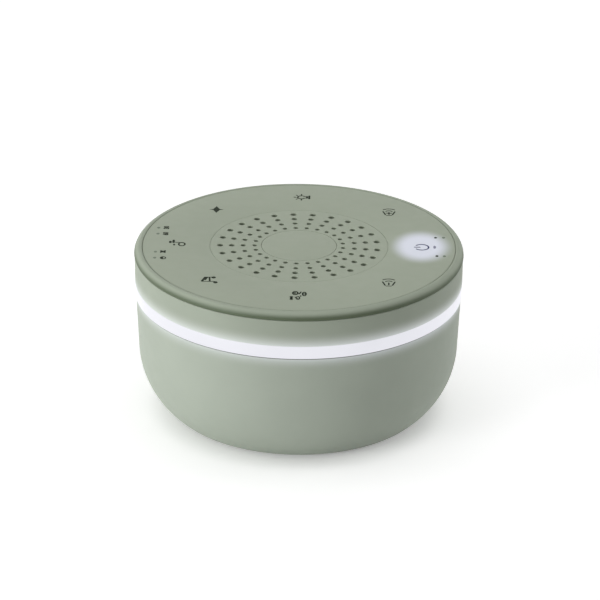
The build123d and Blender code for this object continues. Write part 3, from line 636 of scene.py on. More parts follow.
@dataclass(frozen=True)
class MouldedPlastic(Finish):
    """Matt moulded plastic with a fine spark-eroded grain.

    Args:
        grain: Lumps of the grain to the metre.
        grain_depth: Its depth in millimetres.
        shine: Its specular level.
        glow: The lit edge next to it, if there is one.
        rim_shade: The painted shade under the rounded rim, if there is one.
    """

    grain: float = 2600.0
    grain_depth: float = 0.012
    shine: float = 0.5
    glow: Glow | None = None
    rim_shade: PaintedRimShade | None = None

    def lay_out(self, sheet: NodeSheet) -> None:
        """Mottled tint, uneven roughness and the grain; then the painted shade under the rim, and
        the glow.

        The glow falls off as a power of the share of its reach that is left.

        Args:
            sheet: The material's nodes.
        """
        tint = self.mottled(sheet, 45.0, 0.02)
        # Painted shade: below the rim's top the tint turns to the rim tint, full at the low height.
        if self.rim_shade:
            span = metres(self.rim_shade.low, self.rim_shade.high)
            under = sheet.remap(sheet.axis("Z"), span, (1.0, 0.0))
            tint = sheet.mix(under, tint, self.rim_shade.tint)
        sheet.set(Base_Color=tint, Roughness=self.worn(sheet, 300.0, 0.04))
        sheet.set(Specular_IOR_Level=self.shine)
        sheet.relief(sheet.noise(self.grain, 3.0), self.grain_depth)
        if self.glow:
            height, reach, start = metres(self.glow.height, self.glow.reach, self.glow.start)
            gap = sheet.math("ABSOLUTE", sheet.math("SUBTRACT", sheet.axis("Z"), height))
            near = sheet.math("SUBTRACT", 1.0, sheet.math("DIVIDE", gap, reach))
            near = sheet.math("POWER", sheet.math("MAXIMUM", near, 0.0), self.glow.fall)
            if start:
                near = sheet.math("MULTIPLY", near, sheet.math("GREATER_THAN", gap, start))
            sheet.glow(near, self.glow.light)


@dataclass(frozen=True)
class LitPanel(Finish):
    """Smooth matt panel with a soft light behind the power key, and painted shade at its outer
    edge.

    Args:
        centre: Middle of the light, in millimetres.
        spread: Half its length along X and along Y, to where it ends.
        heart: Share of that within which it is even.
        light: Its colour, linear.
        border: Distances from the axis between which the painted shade in the joint with the lid
            begins.
        border_shade: Share of the tint that is left in the painted shade.
    """

    centre: Pair = (44.5, 0.5)
    spread: Pair = (12.3, 16.3)
    heart: float = 0.45
    light: Colour = (0.345, 0.333, 0.475)
    border: Pair = (56.2, 56.8)
    border_shade: float = 0.93

    def lay_out(self, sheet: NodeSheet) -> None:
        """Mottled tint with a fine grain, darkened at the outer edge as painted shade in the joint,
        and the light as a soft-edged ellipse.

        Args:
            sheet: The material's nodes.
        """
        # Painted shade: the tint darkens towards the outer edge, where the panel meets the lid.
        edge = sheet.remap(sheet.radius(), metres(*self.border))
        dark = shade(self.tint, self.border_shade)
        tint = sheet.mix(edge, self.mottled(sheet, 40.0, 0.015), dark)
        sheet.set(Base_Color=tint, Roughness=self.worn(sheet, 220.0, 0.04))
        sheet.relief(sheet.noise(3200.0, 3.0), 0.008)
        legs = []
        for name, middle, length in zip("XY", metres(*self.centre), metres(*self.spread)):
            offset = sheet.math("SUBTRACT", sheet.axis(name), middle)
            legs.append(sheet.math("DIVIDE", offset, length))
        lit = sheet.remap(sheet.length(*legs), (self.heart, 1.0), (1.0, 0.0))
        sheet.glow(lit, self.light)


@dataclass(frozen=True)
class MilkyPlastic(Finish):
    """Diffusing plastic, lit from behind.

    Args:
        light: Colour of the light, linear.
        strength: Its strength.
        lit_from: Distance from the axis and height in millimetres from which it is lit.
        rise: Way over which the light rises there.
    """

    light: Colour = (0.9, 0.9, 1.0)
    strength: float = 0.4
    lit_from: Pair | None = None
    rise: float = 0.25

    def lay_out(self, sheet: NodeSheet) -> None:
        """Pale tint with faint clouds, and the light a little uneven as between small lights.

        Args:
            sheet: The material's nodes.
        """
        tint = self.mottled(sheet, 60.0, 0.01)
        sheet.set(Base_Color=tint, Roughness=self.worn(sheet, 500.0, 0.03))
        uneven = sheet.remap(sheet.noise(55.0), NOISE_RANGE)
        light = sheet.mix(uneven, shade(self.light, 0.97), self.light)
        if self.lit_from:
            shares = []
            for value, start in zip((sheet.radius(), sheet.axis("Z")), self.lit_from):
                shares.append(sheet.remap(value, metres(start, start + self.rise)))
            light = sheet.mix(sheet.math("MULTIPLY", *shares), BLACK, light)
        sheet.set(Emission_Color=light, Emission_Strength=self.strength)
        sheet.relief(sheet.noise(1500.0), 0.004)


@dataclass(frozen=True)
class SoftRubber(Finish):
    """Matt rubber with a dusty bloom."""

    def lay_out(self, sheet: NodeSheet) -> None:
        """Mottled tint, a soft sheen and a coarse grain.

        Args:
            sheet: The material's nodes.
        """
        tint = self.mottled(sheet, 120.0, 0.12)
        sheet.set(Base_Color=tint, Roughness=self.worn(sheet, 600.0, 0.06))
        sheet.set(Sheen_Weight=0.2, Sheen_Roughness=0.5)
        sheet.relief(sheet.noise(1800.0, 4.0), 0.02)


@dataclass(frozen=True)
class Weave(Finish):
    """Woven cloth: two sets of threads, square to each other.

    Args:
        threads: Threads to the metre.
    """

    threads: float = 3000.0

    def lay_out(self, sheet: NodeSheet) -> None:
        """Height and tint follow the product of two sine waves along X and Y.

        Args:
            sheet: The material's nodes.
        """
        waves = []
        for name in "XY":
            phase = sheet.math("MULTIPLY", sheet.axis(name), self.threads * math.pi)
            waves.append(sheet.math("ABSOLUTE", sheet.math("SINE", phase)))
        crossed = sheet.math("MULTIPLY", *waves)
        fuzz = sheet.math("MULTIPLY", crossed, sheet.noise(900.0))
        tint = sheet.mix(fuzz, shade(self.tint, 0.6), shade(self.tint, 1.3))
        sheet.set(Base_Color=tint, Roughness=self.roughness, Sheen_Weight=0.3)
        sheet.relief(crossed, 0.05)


@dataclass(frozen=True)
class Foam(Finish):
    """Closed-cell foam."""

    def lay_out(self, sheet: NodeSheet) -> None:
        """Small cells show in the tint and in the relief.

        Args:
            sheet: The material's nodes.
        """
        cells = sheet.cells(2500.0)
        tint = sheet.mix(cells, shade(self.tint, 0.6), shade(self.tint, 1.5))
        sheet.set(Base_Color=tint, Roughness=self.roughness)
        sheet.relief(cells, 0.05)


@dataclass(frozen=True)
class PressedFibre(Finish):
    """Paper pulp or board, with fibres lying all ways."""

    def lay_out(self, sheet: NodeSheet) -> None:
        """Two noises drawn out along different axes make the fibres.

        Args:
            sheet: The material's nodes.
        """
        along = sheet.noise(900.0, 4.0, sheet.stretch((1.0, 0.12, 1.0)))
        across = sheet.noise(900.0, 4.0, sheet.stretch((0.12, 1.0, 1.0)))
        fibres = sheet.math("MAXIMUM", along, across)
        share = sheet.remap(fibres, (0.45, 0.75))
        tint = sheet.mix(share, shade(self.tint, 0.75), shade(self.tint, 1.35))
        sheet.set(Base_Color=tint, Roughness=self.worn(sheet, 400.0, 0.05))
        sheet.relief(fibres, 0.03)


@dataclass(frozen=True)
class CircuitBoard(Finish):
    """Solder mask over copper tracks.

    Args:
        track: Colour of the mask where copper lies under it, linear.
    """

    track: Colour = (0.06, 0.30, 0.12)

    def lay_out(self, sheet: NodeSheet) -> None:
        """Tracks are the joints of a brick pattern, broken up by a coarse noise.

        Args:
            sheet: The material's nodes.
        """
        bricks = sheet.add("ShaderNodeTexBrick", offset=0.37, squash=0.8, squash_frequency=3)
        sheet.feed(bricks.inputs["Vector"], sheet.place)
        for key, value in (("Scale", 260.0), ("Mortar Size", 0.012), ("Mortar Smooth", 0.1)):
            bricks.inputs[key].default_value = value
        broken = sheet.remap(sheet.noise(160.0), (0.45, 0.55))
        tracks = sheet.math("MULTIPLY", bricks.outputs["Fac"], broken)
        sheet.set(Base_Color=sheet.mix(tracks, self.mottled(sheet, 80.0, 0.05), self.track))
        sheet.set(Roughness=self.worn(sheet, 500.0, 0.05), Coat_Weight=0.3)
        sheet.relief(tracks, 0.03)


@dataclass(frozen=True)
class Metal(Finish):
    """Plated or drawn metal with fine lines.

    Args:
        lines: How much the lines are drawn out along Z; 1 leaves a grain.
        brushing: How far the lines change the roughness.
    """

    lines: float = 1.0
    brushing: float = 0.08

    def lay_out(self, sheet: NodeSheet) -> None:
        """Fine lines in roughness and relief, and faint clouds in the tint.

        Args:
            sheet: The material's nodes.
        """
        lines = sheet.noise(2200.0, 3.0, sheet.stretch((1.0, 1.0, self.lines)))
        ends = (self.roughness - self.brushing, self.roughness + self.brushing)
        sheet.set(Base_Color=self.mottled(sheet, 150.0, 0.06), Metallic=1.0)
        sheet.set(Roughness=sheet.remap(lines, NOISE_RANGE, ends))
        sheet.relief(lines, 0.006)


@dataclass(frozen=True)
class Sintered(Finish):
    """Pressed and fired ferrite, with small pits."""

    def lay_out(self, sheet: NodeSheet) -> None:
        """Pits from a fine cell pattern, and grains in the tint.

        Args:
            sheet: The material's nodes.
        """
        pits = sheet.remap(sheet.cells(1600.0), (0.0, 0.25))
        tint = self.mottled(sheet, 700.0, 0.15)
        sheet.set(Base_Color=tint, Roughness=self.worn(sheet, 500.0, 0.08))
        sheet.relief(pits, 0.02)


@dataclass(frozen=True)
class WoundWire(Finish):
    """Enamelled wire in layers.

    Args:
        pitch: Height of one turn, in millimetres.
    """

    pitch: float = 0.25

    def lay_out(self, sheet: NodeSheet) -> None:
        """Each turn is one hump of a sine wave along Z.

        Args:
            sheet: The material's nodes.
        """
        phase = sheet.math("MULTIPLY", sheet.axis("Z"), math.pi / (self.pitch * MM))
        hump = sheet.math("ABSOLUTE", sheet.math("SINE", phase))
        sheet.set(Base_Color=sheet.mix(hump, shade(self.tint, 0.45), self.tint), Metallic=0.8)
        sheet.set(Roughness=self.roughness, Coat_Weight=0.5)
        sheet.relief(hump, 0.08)


@dataclass(frozen=True)
class Ink(Finish):
    """Screen-printed ink, a little uneven.

    Args:
        shine: Its specular level; 0.5 is plain varnish.
    """

    shine: float = 0.1

    def lay_out(self, sheet: NodeSheet) -> None:
        """Fine speckle in the tint and a faint relief.

        Args:
            sheet: The material's nodes.
        """
        tint = self.mottled(sheet, 2500.0, 0.12)
        sheet.set(Base_Color=tint, Roughness=self.worn(sheet, 900.0, 0.05))
        sheet.set(Specular_IOR_Level=self.shine)
        sheet.relief(sheet.noise(4000.0), 0.004)


class Look(Enum):
    """The finishes of this speaker, named after what they cover."""

    # BOWL, WALL and LID cover one housing plastic; their tints differ partly as their own tone and
    # partly as painted light, each set to how brightly its part shows.
    BOWL = MouldedPlastic(
        "sage_bowl",
        (0.400, 0.448, 0.376),
        0.56,
        shine=0.35,
        glow=Glow(height=45.75, reach=4.8, light=(0.21, 0.21, 0.25), start=0.05),
    )
    WALL = MouldedPlastic(
        "sage_wall",
        (0.353, 0.397, 0.322),
        0.56,
        shine=0.35,
        glow=Glow(height=50.75, reach=5.6, light=(0.34, 0.34, 0.38)),
    )
    LID = MouldedPlastic(
        "sage_lid",
        (0.383, 0.433, 0.344),
        0.52,
        shine=0.2,
        # Painted shade under the lid's rounded rim.
        rim_shade=PaintedRimShade(low=61.6, high=63.4, tint=(0.109, 0.140, 0.087)),
    )
    PANEL = LitPanel("sage_panel", (0.365, 0.415, 0.318), 0.5)
    GRILLE = MouldedPlastic(
        "sage_grille", (0.365, 0.415, 0.318), 0.5, grain=3200.0, grain_depth=0.008
    )
    BAND = MilkyPlastic(
        "lit_band",
        (0.16, 0.16, 0.17),
        0.45,
        light=(0.96, 0.965, 1.03),
        strength=0.70,
        lit_from=(59.4, 45.95),
    )
    GUIDE = MilkyPlastic("light_guide", (0.80, 0.80, 0.82), 0.35, strength=0.8)
    LIGHTS = MilkyPlastic("small_lights", (0.85, 0.85, 0.75), 0.3, strength=1.0)
    FOOT = SoftRubber("foot_rubber", (0.10, 0.11, 0.10), 0.8)
    INK = Ink("dark_ink", (0.018, 0.026, 0.014), 0.6)
    POWER_INK = Ink("power_ink", (0.030, 0.040, 0.120), 0.55)
    FAINT_INK = Ink("faint_ink", (0.32, 0.33, 0.42), 0.55)
    PALE_INK = Ink("pale_window", (0.20, 0.245, 0.185), 0.4)
    WHITE = MouldedPlastic("white_plastic", (0.80, 0.80, 0.78), 0.5)
    CHIP = MouldedPlastic("chip_epoxy", (0.03, 0.03, 0.03), 0.5, grain=4000.0, grain_depth=0.006)
    SLEEVE = MouldedPlastic("cell_sleeve", (0.05, 0.18, 0.42), 0.3, grain=300.0, grain_depth=0.02)
    FILM = MouldedPlastic("ribbon_film", (0.42, 0.20, 0.05), 0.35, grain=500.0, grain_depth=0.004)
    BLACK_WIRE = SoftRubber("black_insulation", (0.02, 0.02, 0.02), 0.5)
    RED_WIRE = SoftRubber("red_insulation", (0.42, 0.02, 0.02), 0.5)
    ROLL = SoftRubber("roll_rubber", (0.02, 0.02, 0.02), 0.7)
    CLOTH = Weave("dust_cloth", (0.035, 0.042, 0.034), 0.9)
    SPIDER = Weave("spider_cloth", (0.32, 0.20, 0.09), 0.85, threads=1800.0)
    FOAM = Foam("black_foam", (0.03, 0.03, 0.03), 0.9)
    CONE = PressedFibre("cone_paper", (0.03, 0.03, 0.03), 0.8)
    BOARD = PressedFibre("brown_board", (0.30, 0.19, 0.10), 0.7)
    CIRCUIT = CircuitBoard("circuit_board", (0.03, 0.16, 0.07), 0.35)
    STEEL = Metal("plated_steel", (0.52, 0.52, 0.53), 0.35)
    CAN = Metal("drawn_can", (0.60, 0.60, 0.62), 0.3, lines=0.05)
    FERRITE = Sintered("ferrite", (0.06, 0.06, 0.065), 0.6)
    COPPER = WoundWire("copper_winding", (0.55, 0.24, 0.10), 0.3)


# Pieces


@dataclass
class Bowl:
    """The bowl below the lit band, with its charging slot and its rubber foot."""

    rim_height: float = 45.75
    rim_radius: float = 59.45
    draft: float = 2.55
    rim_edge: float = 0.12
    side_arc: float = 31.4
    side_arc_end: float = 49.7
    side_steps: int = 44
    corner_arc: float = 6.7
    corner_steps: int = 14
    stand: float = 0.8
    wall: float = 2.4
    groove: Triple = (33.0, 41.0, 1.8)  # inner radius, outer radius, top
    foot: Triple = (33.1, 40.9, 1.8)  # inner radius, outer radius, top
    foot_tread_round: float = 0.35
    foot_top_round: float = 0.05
    slot_size: Pair = (9.14, 3.46)
    slot_height: float = 15.23
    slot_loops: int = 7
    window: Pair = (10.0, 20.6)  # heights between which the skin is cut for the slot
    half_window: int = 7
    segments: int = 288

    def side(self, inset: float) -> np.ndarray:
        """The wall's line from the rim down to the floor, moved inwards by inset.

        A drafted straight side meets the large arc, and the large arc meets the corner arc, each
        at a common tangent.

        Args:
            inset: Distance from the outer skin, in millimetres.

        Returns:
            One row of radius and height for each point.
        """
        lean = math.radians(self.draft)
        turn = math.radians(self.side_arc_end)
        corner_z = self.stand + self.corner_arc
        arc_z = corner_z + (self.side_arc - self.corner_arc) * math.sin(turn)
        foot_z = arc_z - self.side_arc * math.sin(lean)
        foot_r = self.rim_radius - (self.rim_height - foot_z) * math.tan(lean)
        arc_r = foot_r - self.side_arc * math.cos(lean)
        corner_r = arc_r + (self.side_arc - self.corner_arc) * math.cos(turn)
        rim = np.array([(self.rim_radius - inset / math.cos(lean), self.rim_height)])
        end = -self.side_arc_end
        large = arc((arc_r, arc_z), self.side_arc - inset, -self.draft, end, self.side_steps)
        corner_radius = self.corner_arc - inset
        corner = arc((corner_r, corner_z), corner_radius, end, -90, self.corner_steps)
        return np.vstack([rim, large, corner[1:]])

    def profile(self) -> np.ndarray:
        """Puts the closed section together: out along the floor, up, over the rim and back.

        Returns:
            One row of radius and height for each point.
        """
        outer, inner = self.side(0)[::-1], self.side(self.wall)
        groove_in, groove_out, groove_top = self.groove
        low = [
            (0, self.stand),
            (groove_in, self.stand),
            (groove_in, groove_top),
            (groove_out, groove_top),
            (groove_out, self.stand),
        ]
        outer[-1, 1] -= self.rim_edge
        rim = [
            (self.rim_radius - self.rim_edge, self.rim_height),
            (self.rim_radius - self.wall + self.rim_edge, self.rim_height),
        ]
        return np.vstack([low, outer, rim, inner[1:], [(0, self.stand + self.wall)]])

    def slot_rings(self, profile: np.ndarray, rows: tuple[int, int], inwards: bool) -> np.ndarray:
        """Rings from the border of the slot's window on one skin to the slot's edge.

        The border is made of the skin's own points. Between it and the edge, Y and Z change evenly,
        and X follows from the skin's radius at that height.

        Args:
            profile: The bowl's section.
            rows: First and last profile point of the window.
            inwards: True for the inner skin.

        Returns:
            Points as ring, place in the ring, and x, y, z.
        """
        step = 2 * math.pi / self.segments
        span = profile[min(rows) : max(rows) + 1]
        span = span[np.argsort(span[:, 1])]
        count = len(span) - 1
        wide = self.half_window
        border = box_border((-wide, 0), (wide, count), (2 * wide, count))
        radius = np.interp(border[:, 1], np.arange(count + 1), span[:, 0])
        height = np.interp(border[:, 1], np.arange(count + 1), span[:, 1])
        flat = np.column_stack([radius * np.sin(border[:, 0] * step), height])
        centre = np.array([0.0, self.slot_height])
        half_height = self.slot_size[1] / 2
        edge = towards(flat, centre, (self.slot_size[0] - self.slot_size[1]) / 2, half_height)
        share = np.linspace(0, 1, self.slot_loops)[:, None, None]
        rings = flat * (1 - share) + edge * share
        skin = np.interp(rings[..., 1], span[:, 1], span[:, 0])
        depth = -np.sqrt(skin**2 - rings[..., 0] ** 2)
        rings = np.dstack([depth, rings[..., 0], rings[..., 1]])
        return rings[::-1] if inwards else rings

    def make(self) -> None:
        """Builds the bowl and the foot in place of their CAD nodes."""
        profile = self.profile()
        low, high = self.window
        rows = np.flatnonzero((profile[:, 1] > low) & (profile[:, 1] < high))
        outer, inner = rows[rows < rows.mean()], rows[rows > rows.mean()]
        count = min(len(outer), len(inner))
        open_faces = np.zeros((self.segments, len(profile)), bool)
        back = self.segments // 2
        columns = slice(back - self.half_window, back + self.half_window)
        slot = []
        for first, inwards in ((outer[0], False), (inner[0], True)):
            last = first + count - 1
            open_faces[columns, first:last] = True
            slot.append(self.slot_rings(profile, (first, last), inwards))
        shell = turned(profile, self.segments, open_faces) + loops(np.concatenate(slot))
        build(shell, "bowl_shell", Look.BOWL, "housing_plastic", "base_shell")
        inner_r, outer_r, top = self.foot
        tread, edge = self.foot_tread_round, self.foot_top_round
        foot = rounded(
            [(inner_r, 0), (outer_r, 0), (outer_r, top), (inner_r, top)], [tread, tread, edge, edge]
        )
        build(turned(foot, self.segments), "foot_ring", Look.FOOT, "grey_rubber", "rubber_foot")


@dataclass
class Band:
    """The plain wall above the lit band, and the band itself."""

    wall_radius: float = 59.8
    wall_thickness: float = 2.6
    band_low: float = 46.05
    band_high: float = 50.75
    wall_top: float = 60.7
    deck: Pair = (52.2, 53.8)  # underside, top
    core_radius: float = 33.2
    lip_inner: float = 55.65
    lip_outer: Pair = (56.55, 57.0)  # lower lip, upper lip
    lip_low: float = 43.65
    lip_high: float = 52.05
    edge: float = 0.22
    crease: float = 0.1
    deck_root: float = 0.4
    deck_edge: float = 0.2
    segments: int = 288

    def make(self) -> None:
        """Builds the wall with its deck, and the band with its two lips."""
        inside = self.wall_radius - self.wall_thickness
        deck_low, deck_high = self.deck
        edge, crease, root, core = self.edge, self.crease, self.deck_root, self.deck_edge
        wall = rounded(
            [
                (self.wall_radius, self.band_high),
                (self.wall_radius, self.wall_top),
                (inside, self.wall_top),
                (inside, deck_high),
                (self.core_radius, deck_high),
                (self.core_radius, deck_low),
                (inside, deck_low),
                (inside, self.band_high),
            ],
            [edge, edge, crease, root, core, core, root, crease],
        )
        build(turned(wall, self.segments), "side_wall", Look.WALL, "housing_plastic", "upper_shell")
        band = rounded(
            [
                (self.lip_inner, self.lip_low),
                (self.lip_outer[0], self.lip_low),
                (self.lip_outer[0], self.band_low),
                (self.wall_radius, self.band_low),
                (self.wall_radius, self.band_high),
                (self.lip_outer[1], self.band_high),
                (self.lip_outer[1], self.lip_high),
                (self.lip_inner, self.lip_high),
            ],
            [crease, crease, crease, edge, edge, crease, crease, crease],
        )
        build(turned(band, self.segments), "lit_ring", Look.BAND, "milky_plastic", "light_ring")


@dataclass
class Lid:
    """The lid with its rounded rim, and the printed panel let into it."""

    radius: float = 60.0
    top: float = 63.6
    rim_bottom: float = 60.7
    top_round: float = 2.4
    under_round: float = 0.6
    recess_radius: float = 57.1
    recess_round: float = 0.3
    panel_radius: float = 57.0
    panel_round: float = 0.3
    panel_seat: float = 62.0
    panel_drop: float = 0.03
    hole_radius: float = 32.46
    hole_round: float = 0.06
    web_bottom: float = 60.7
    skirt: Triple = (55.3, 57.0, 57.7)  # inner radius, outer radius, lower end
    skirt_round: float = 0.3
    seat_ring: Triple = (30.6, 35.0, 57.2)  # inner radius, outer radius, lower end
    seat_round: float = 0.2
    crease: float = 0.1
    arc_steps: int = 12
    segments: int = 288

    def make(self) -> None:
        """Builds the lid and the panel in place of their CAD nodes."""
        skirt_in, skirt_out, skirt_low = self.skirt
        seat_in, seat_out, seat_low = self.seat_ring
        lid = rounded(
            [
                (self.recess_radius, self.panel_seat),
                (self.recess_radius, self.top),
                (self.radius, self.top),
                (self.radius, self.rim_bottom),
                (skirt_out, self.rim_bottom),
                (skirt_out, skirt_low),
                (skirt_in, skirt_low),
                (skirt_in, self.web_bottom),
                (seat_out, self.web_bottom),
                (seat_out, seat_low),
                (seat_in, seat_low),
                (seat_in, self.panel_seat),
            ],
            [self.crease, self.recess_round, self.top_round, self.under_round, self.crease]
            + [self.skirt_round] * 4
            + [self.seat_round] * 3,
            self.arc_steps,
        )
        shell = turned(lid[::-1], self.segments)
        build(shell, "lid_shell", Look.LID, "housing_plastic", "top_cover")
        panel_top = self.top - self.panel_drop
        panel = rounded(
            [
                (self.hole_radius, self.panel_seat),
                (self.panel_radius, self.panel_seat),
                (self.panel_radius, panel_top),
                (self.hole_radius, panel_top),
            ],
            [self.crease, self.crease, self.panel_round, self.hole_round],
        )
        build(turned(panel, self.segments), "key_panel", Look.PANEL, "panel_plastic", "touch_panel")


@dataclass
class Grille:
    """The perforated disc, with the plain disc in its middle."""

    radius: float = 32.4
    top: float = 63.57
    bottom: float = 62.0
    centre_radius: float = 13.65
    seat_radius: float = 13.77
    seat_depth: float = 0.77
    spokes: int = 25
    first_angle: float = 8.74
    rings: int = 4
    first_ring: float = 16.16
    ring_pitch: float = 4.17
    first_hole: float = 1.7
    hole_growth: float = 0.2
    chamfer: float = 0.1
    side_steps: int = 6
    edge: float = 0.08
    centre_crease: float = 0.1
    centre_round: float = 0.12

    def hole(self, ring: int, spoke: int) -> Surface:
        """One hole with the patch of the disc round it, through both faces.

        The patch is a piece of a ring between two spokes. From its border on the top face, rings of
        points close in on the hole's edge, go down its wall and open out again below.

        Args:
            ring: Number of the hole's ring, from the middle.
            spoke: Number of its spoke.

        Returns:
            The strip from the border above to the border below.
        """
        middle = self.first_ring + ring * self.ring_pitch
        angle = math.radians(self.first_angle + spoke * 360 / self.spokes)
        half_step = math.pi / self.spokes
        low, high = middle - self.ring_pitch / 2, middle + self.ring_pitch / 2
        steps = (self.side_steps, self.side_steps)
        border = box_border((low, angle - half_step), (high, angle + half_step), steps)
        border = border[:, :1] * np.column_stack([np.cos(border[:, 1]), np.sin(border[:, 1])])
        centre = middle * np.array([math.cos(angle), math.sin(angle)])
        hole_radius = (self.first_hole + ring * self.hole_growth) / 2
        mouth = towards(border, centre, 0.0, hole_radius + self.chamfer)
        bore = towards(border, centre, 0.0, hole_radius)
        halfway = (border + mouth) / 2
        flat = [border, halfway, mouth, bore, bore, mouth, halfway, border]
        down = [0.0, 0.0, 0.0, self.chamfer]
        heights = [self.top - drop for drop in down] + [self.bottom + drop for drop in down[::-1]]
        rings = [np.column_stack([edge, np.full(len(edge), z)]) for edge, z in zip(flat, heights)]
        return loops(np.array(rings))

    def make(self) -> None:
        """Builds the perforated disc and the middle disc in place of their CAD nodes."""
        inner = self.first_ring - self.ring_pitch / 2
        outer = self.first_ring + (self.rings - 0.5) * self.ring_pitch
        seat = self.top - self.seat_depth
        profile = np.array(
            [
                (0, self.bottom),
                (inner, self.bottom),
                (outer, self.bottom),
                (self.radius - self.edge, self.bottom),
                (self.radius, self.bottom + self.edge),
                (self.radius, self.top - self.edge),
                (self.radius - self.edge, self.top),
                (outer, self.top),
                (inner, self.top),
                (self.seat_radius + self.edge, self.top),
                (self.seat_radius, self.top - self.edge),
                (self.seat_radius, seat),
                (0, seat),
            ]
        )
        segments = self.spokes * self.side_steps
        open_faces = np.zeros((segments, len(profile)), bool)
        open_faces[:, [1, 7]] = True
        turn = math.radians(self.first_angle) - math.pi / self.spokes
        plain = spun(turned(profile, segments, open_faces), turn)
        numbers = np.ndindex(self.rings, self.spokes)
        disc = joined([plain, *(self.hole(ring, spoke) for ring, spoke in numbers)])
        build(disc, "perforated_disc", Look.GRILLE, "panel_plastic", "grille_disc")
        reach = self.centre_radius
        middle = rounded(
            [(0, seat), (reach, seat), (reach, self.top), (0, self.top)],
            [0, self.centre_crease, self.centre_round, 0],
        )
        build(turned(middle, segments), "middle_disc", Look.GRILLE, "panel_plastic", "centre_disc")


# Printed signs


class Sign(Enum):
    """The signs round the panel: place in millimetres and what they say."""

    POWER = (44.7, 0.0)
    LOUDER = (32.85, 31.8)
    LAMP = (0.05, 45.0)
    STAR = (-31.35, 32.1)
    TIMER = (-44.3, 0.2)
    MUSIC = (-31.1, -31.8)
    SOUNDS = (0.6, -44.0)
    QUIETER = (32.6, -32.0)
    HOURGLASS = (-49.2, -7.5)
    MOON = (-49.0, -13.1)


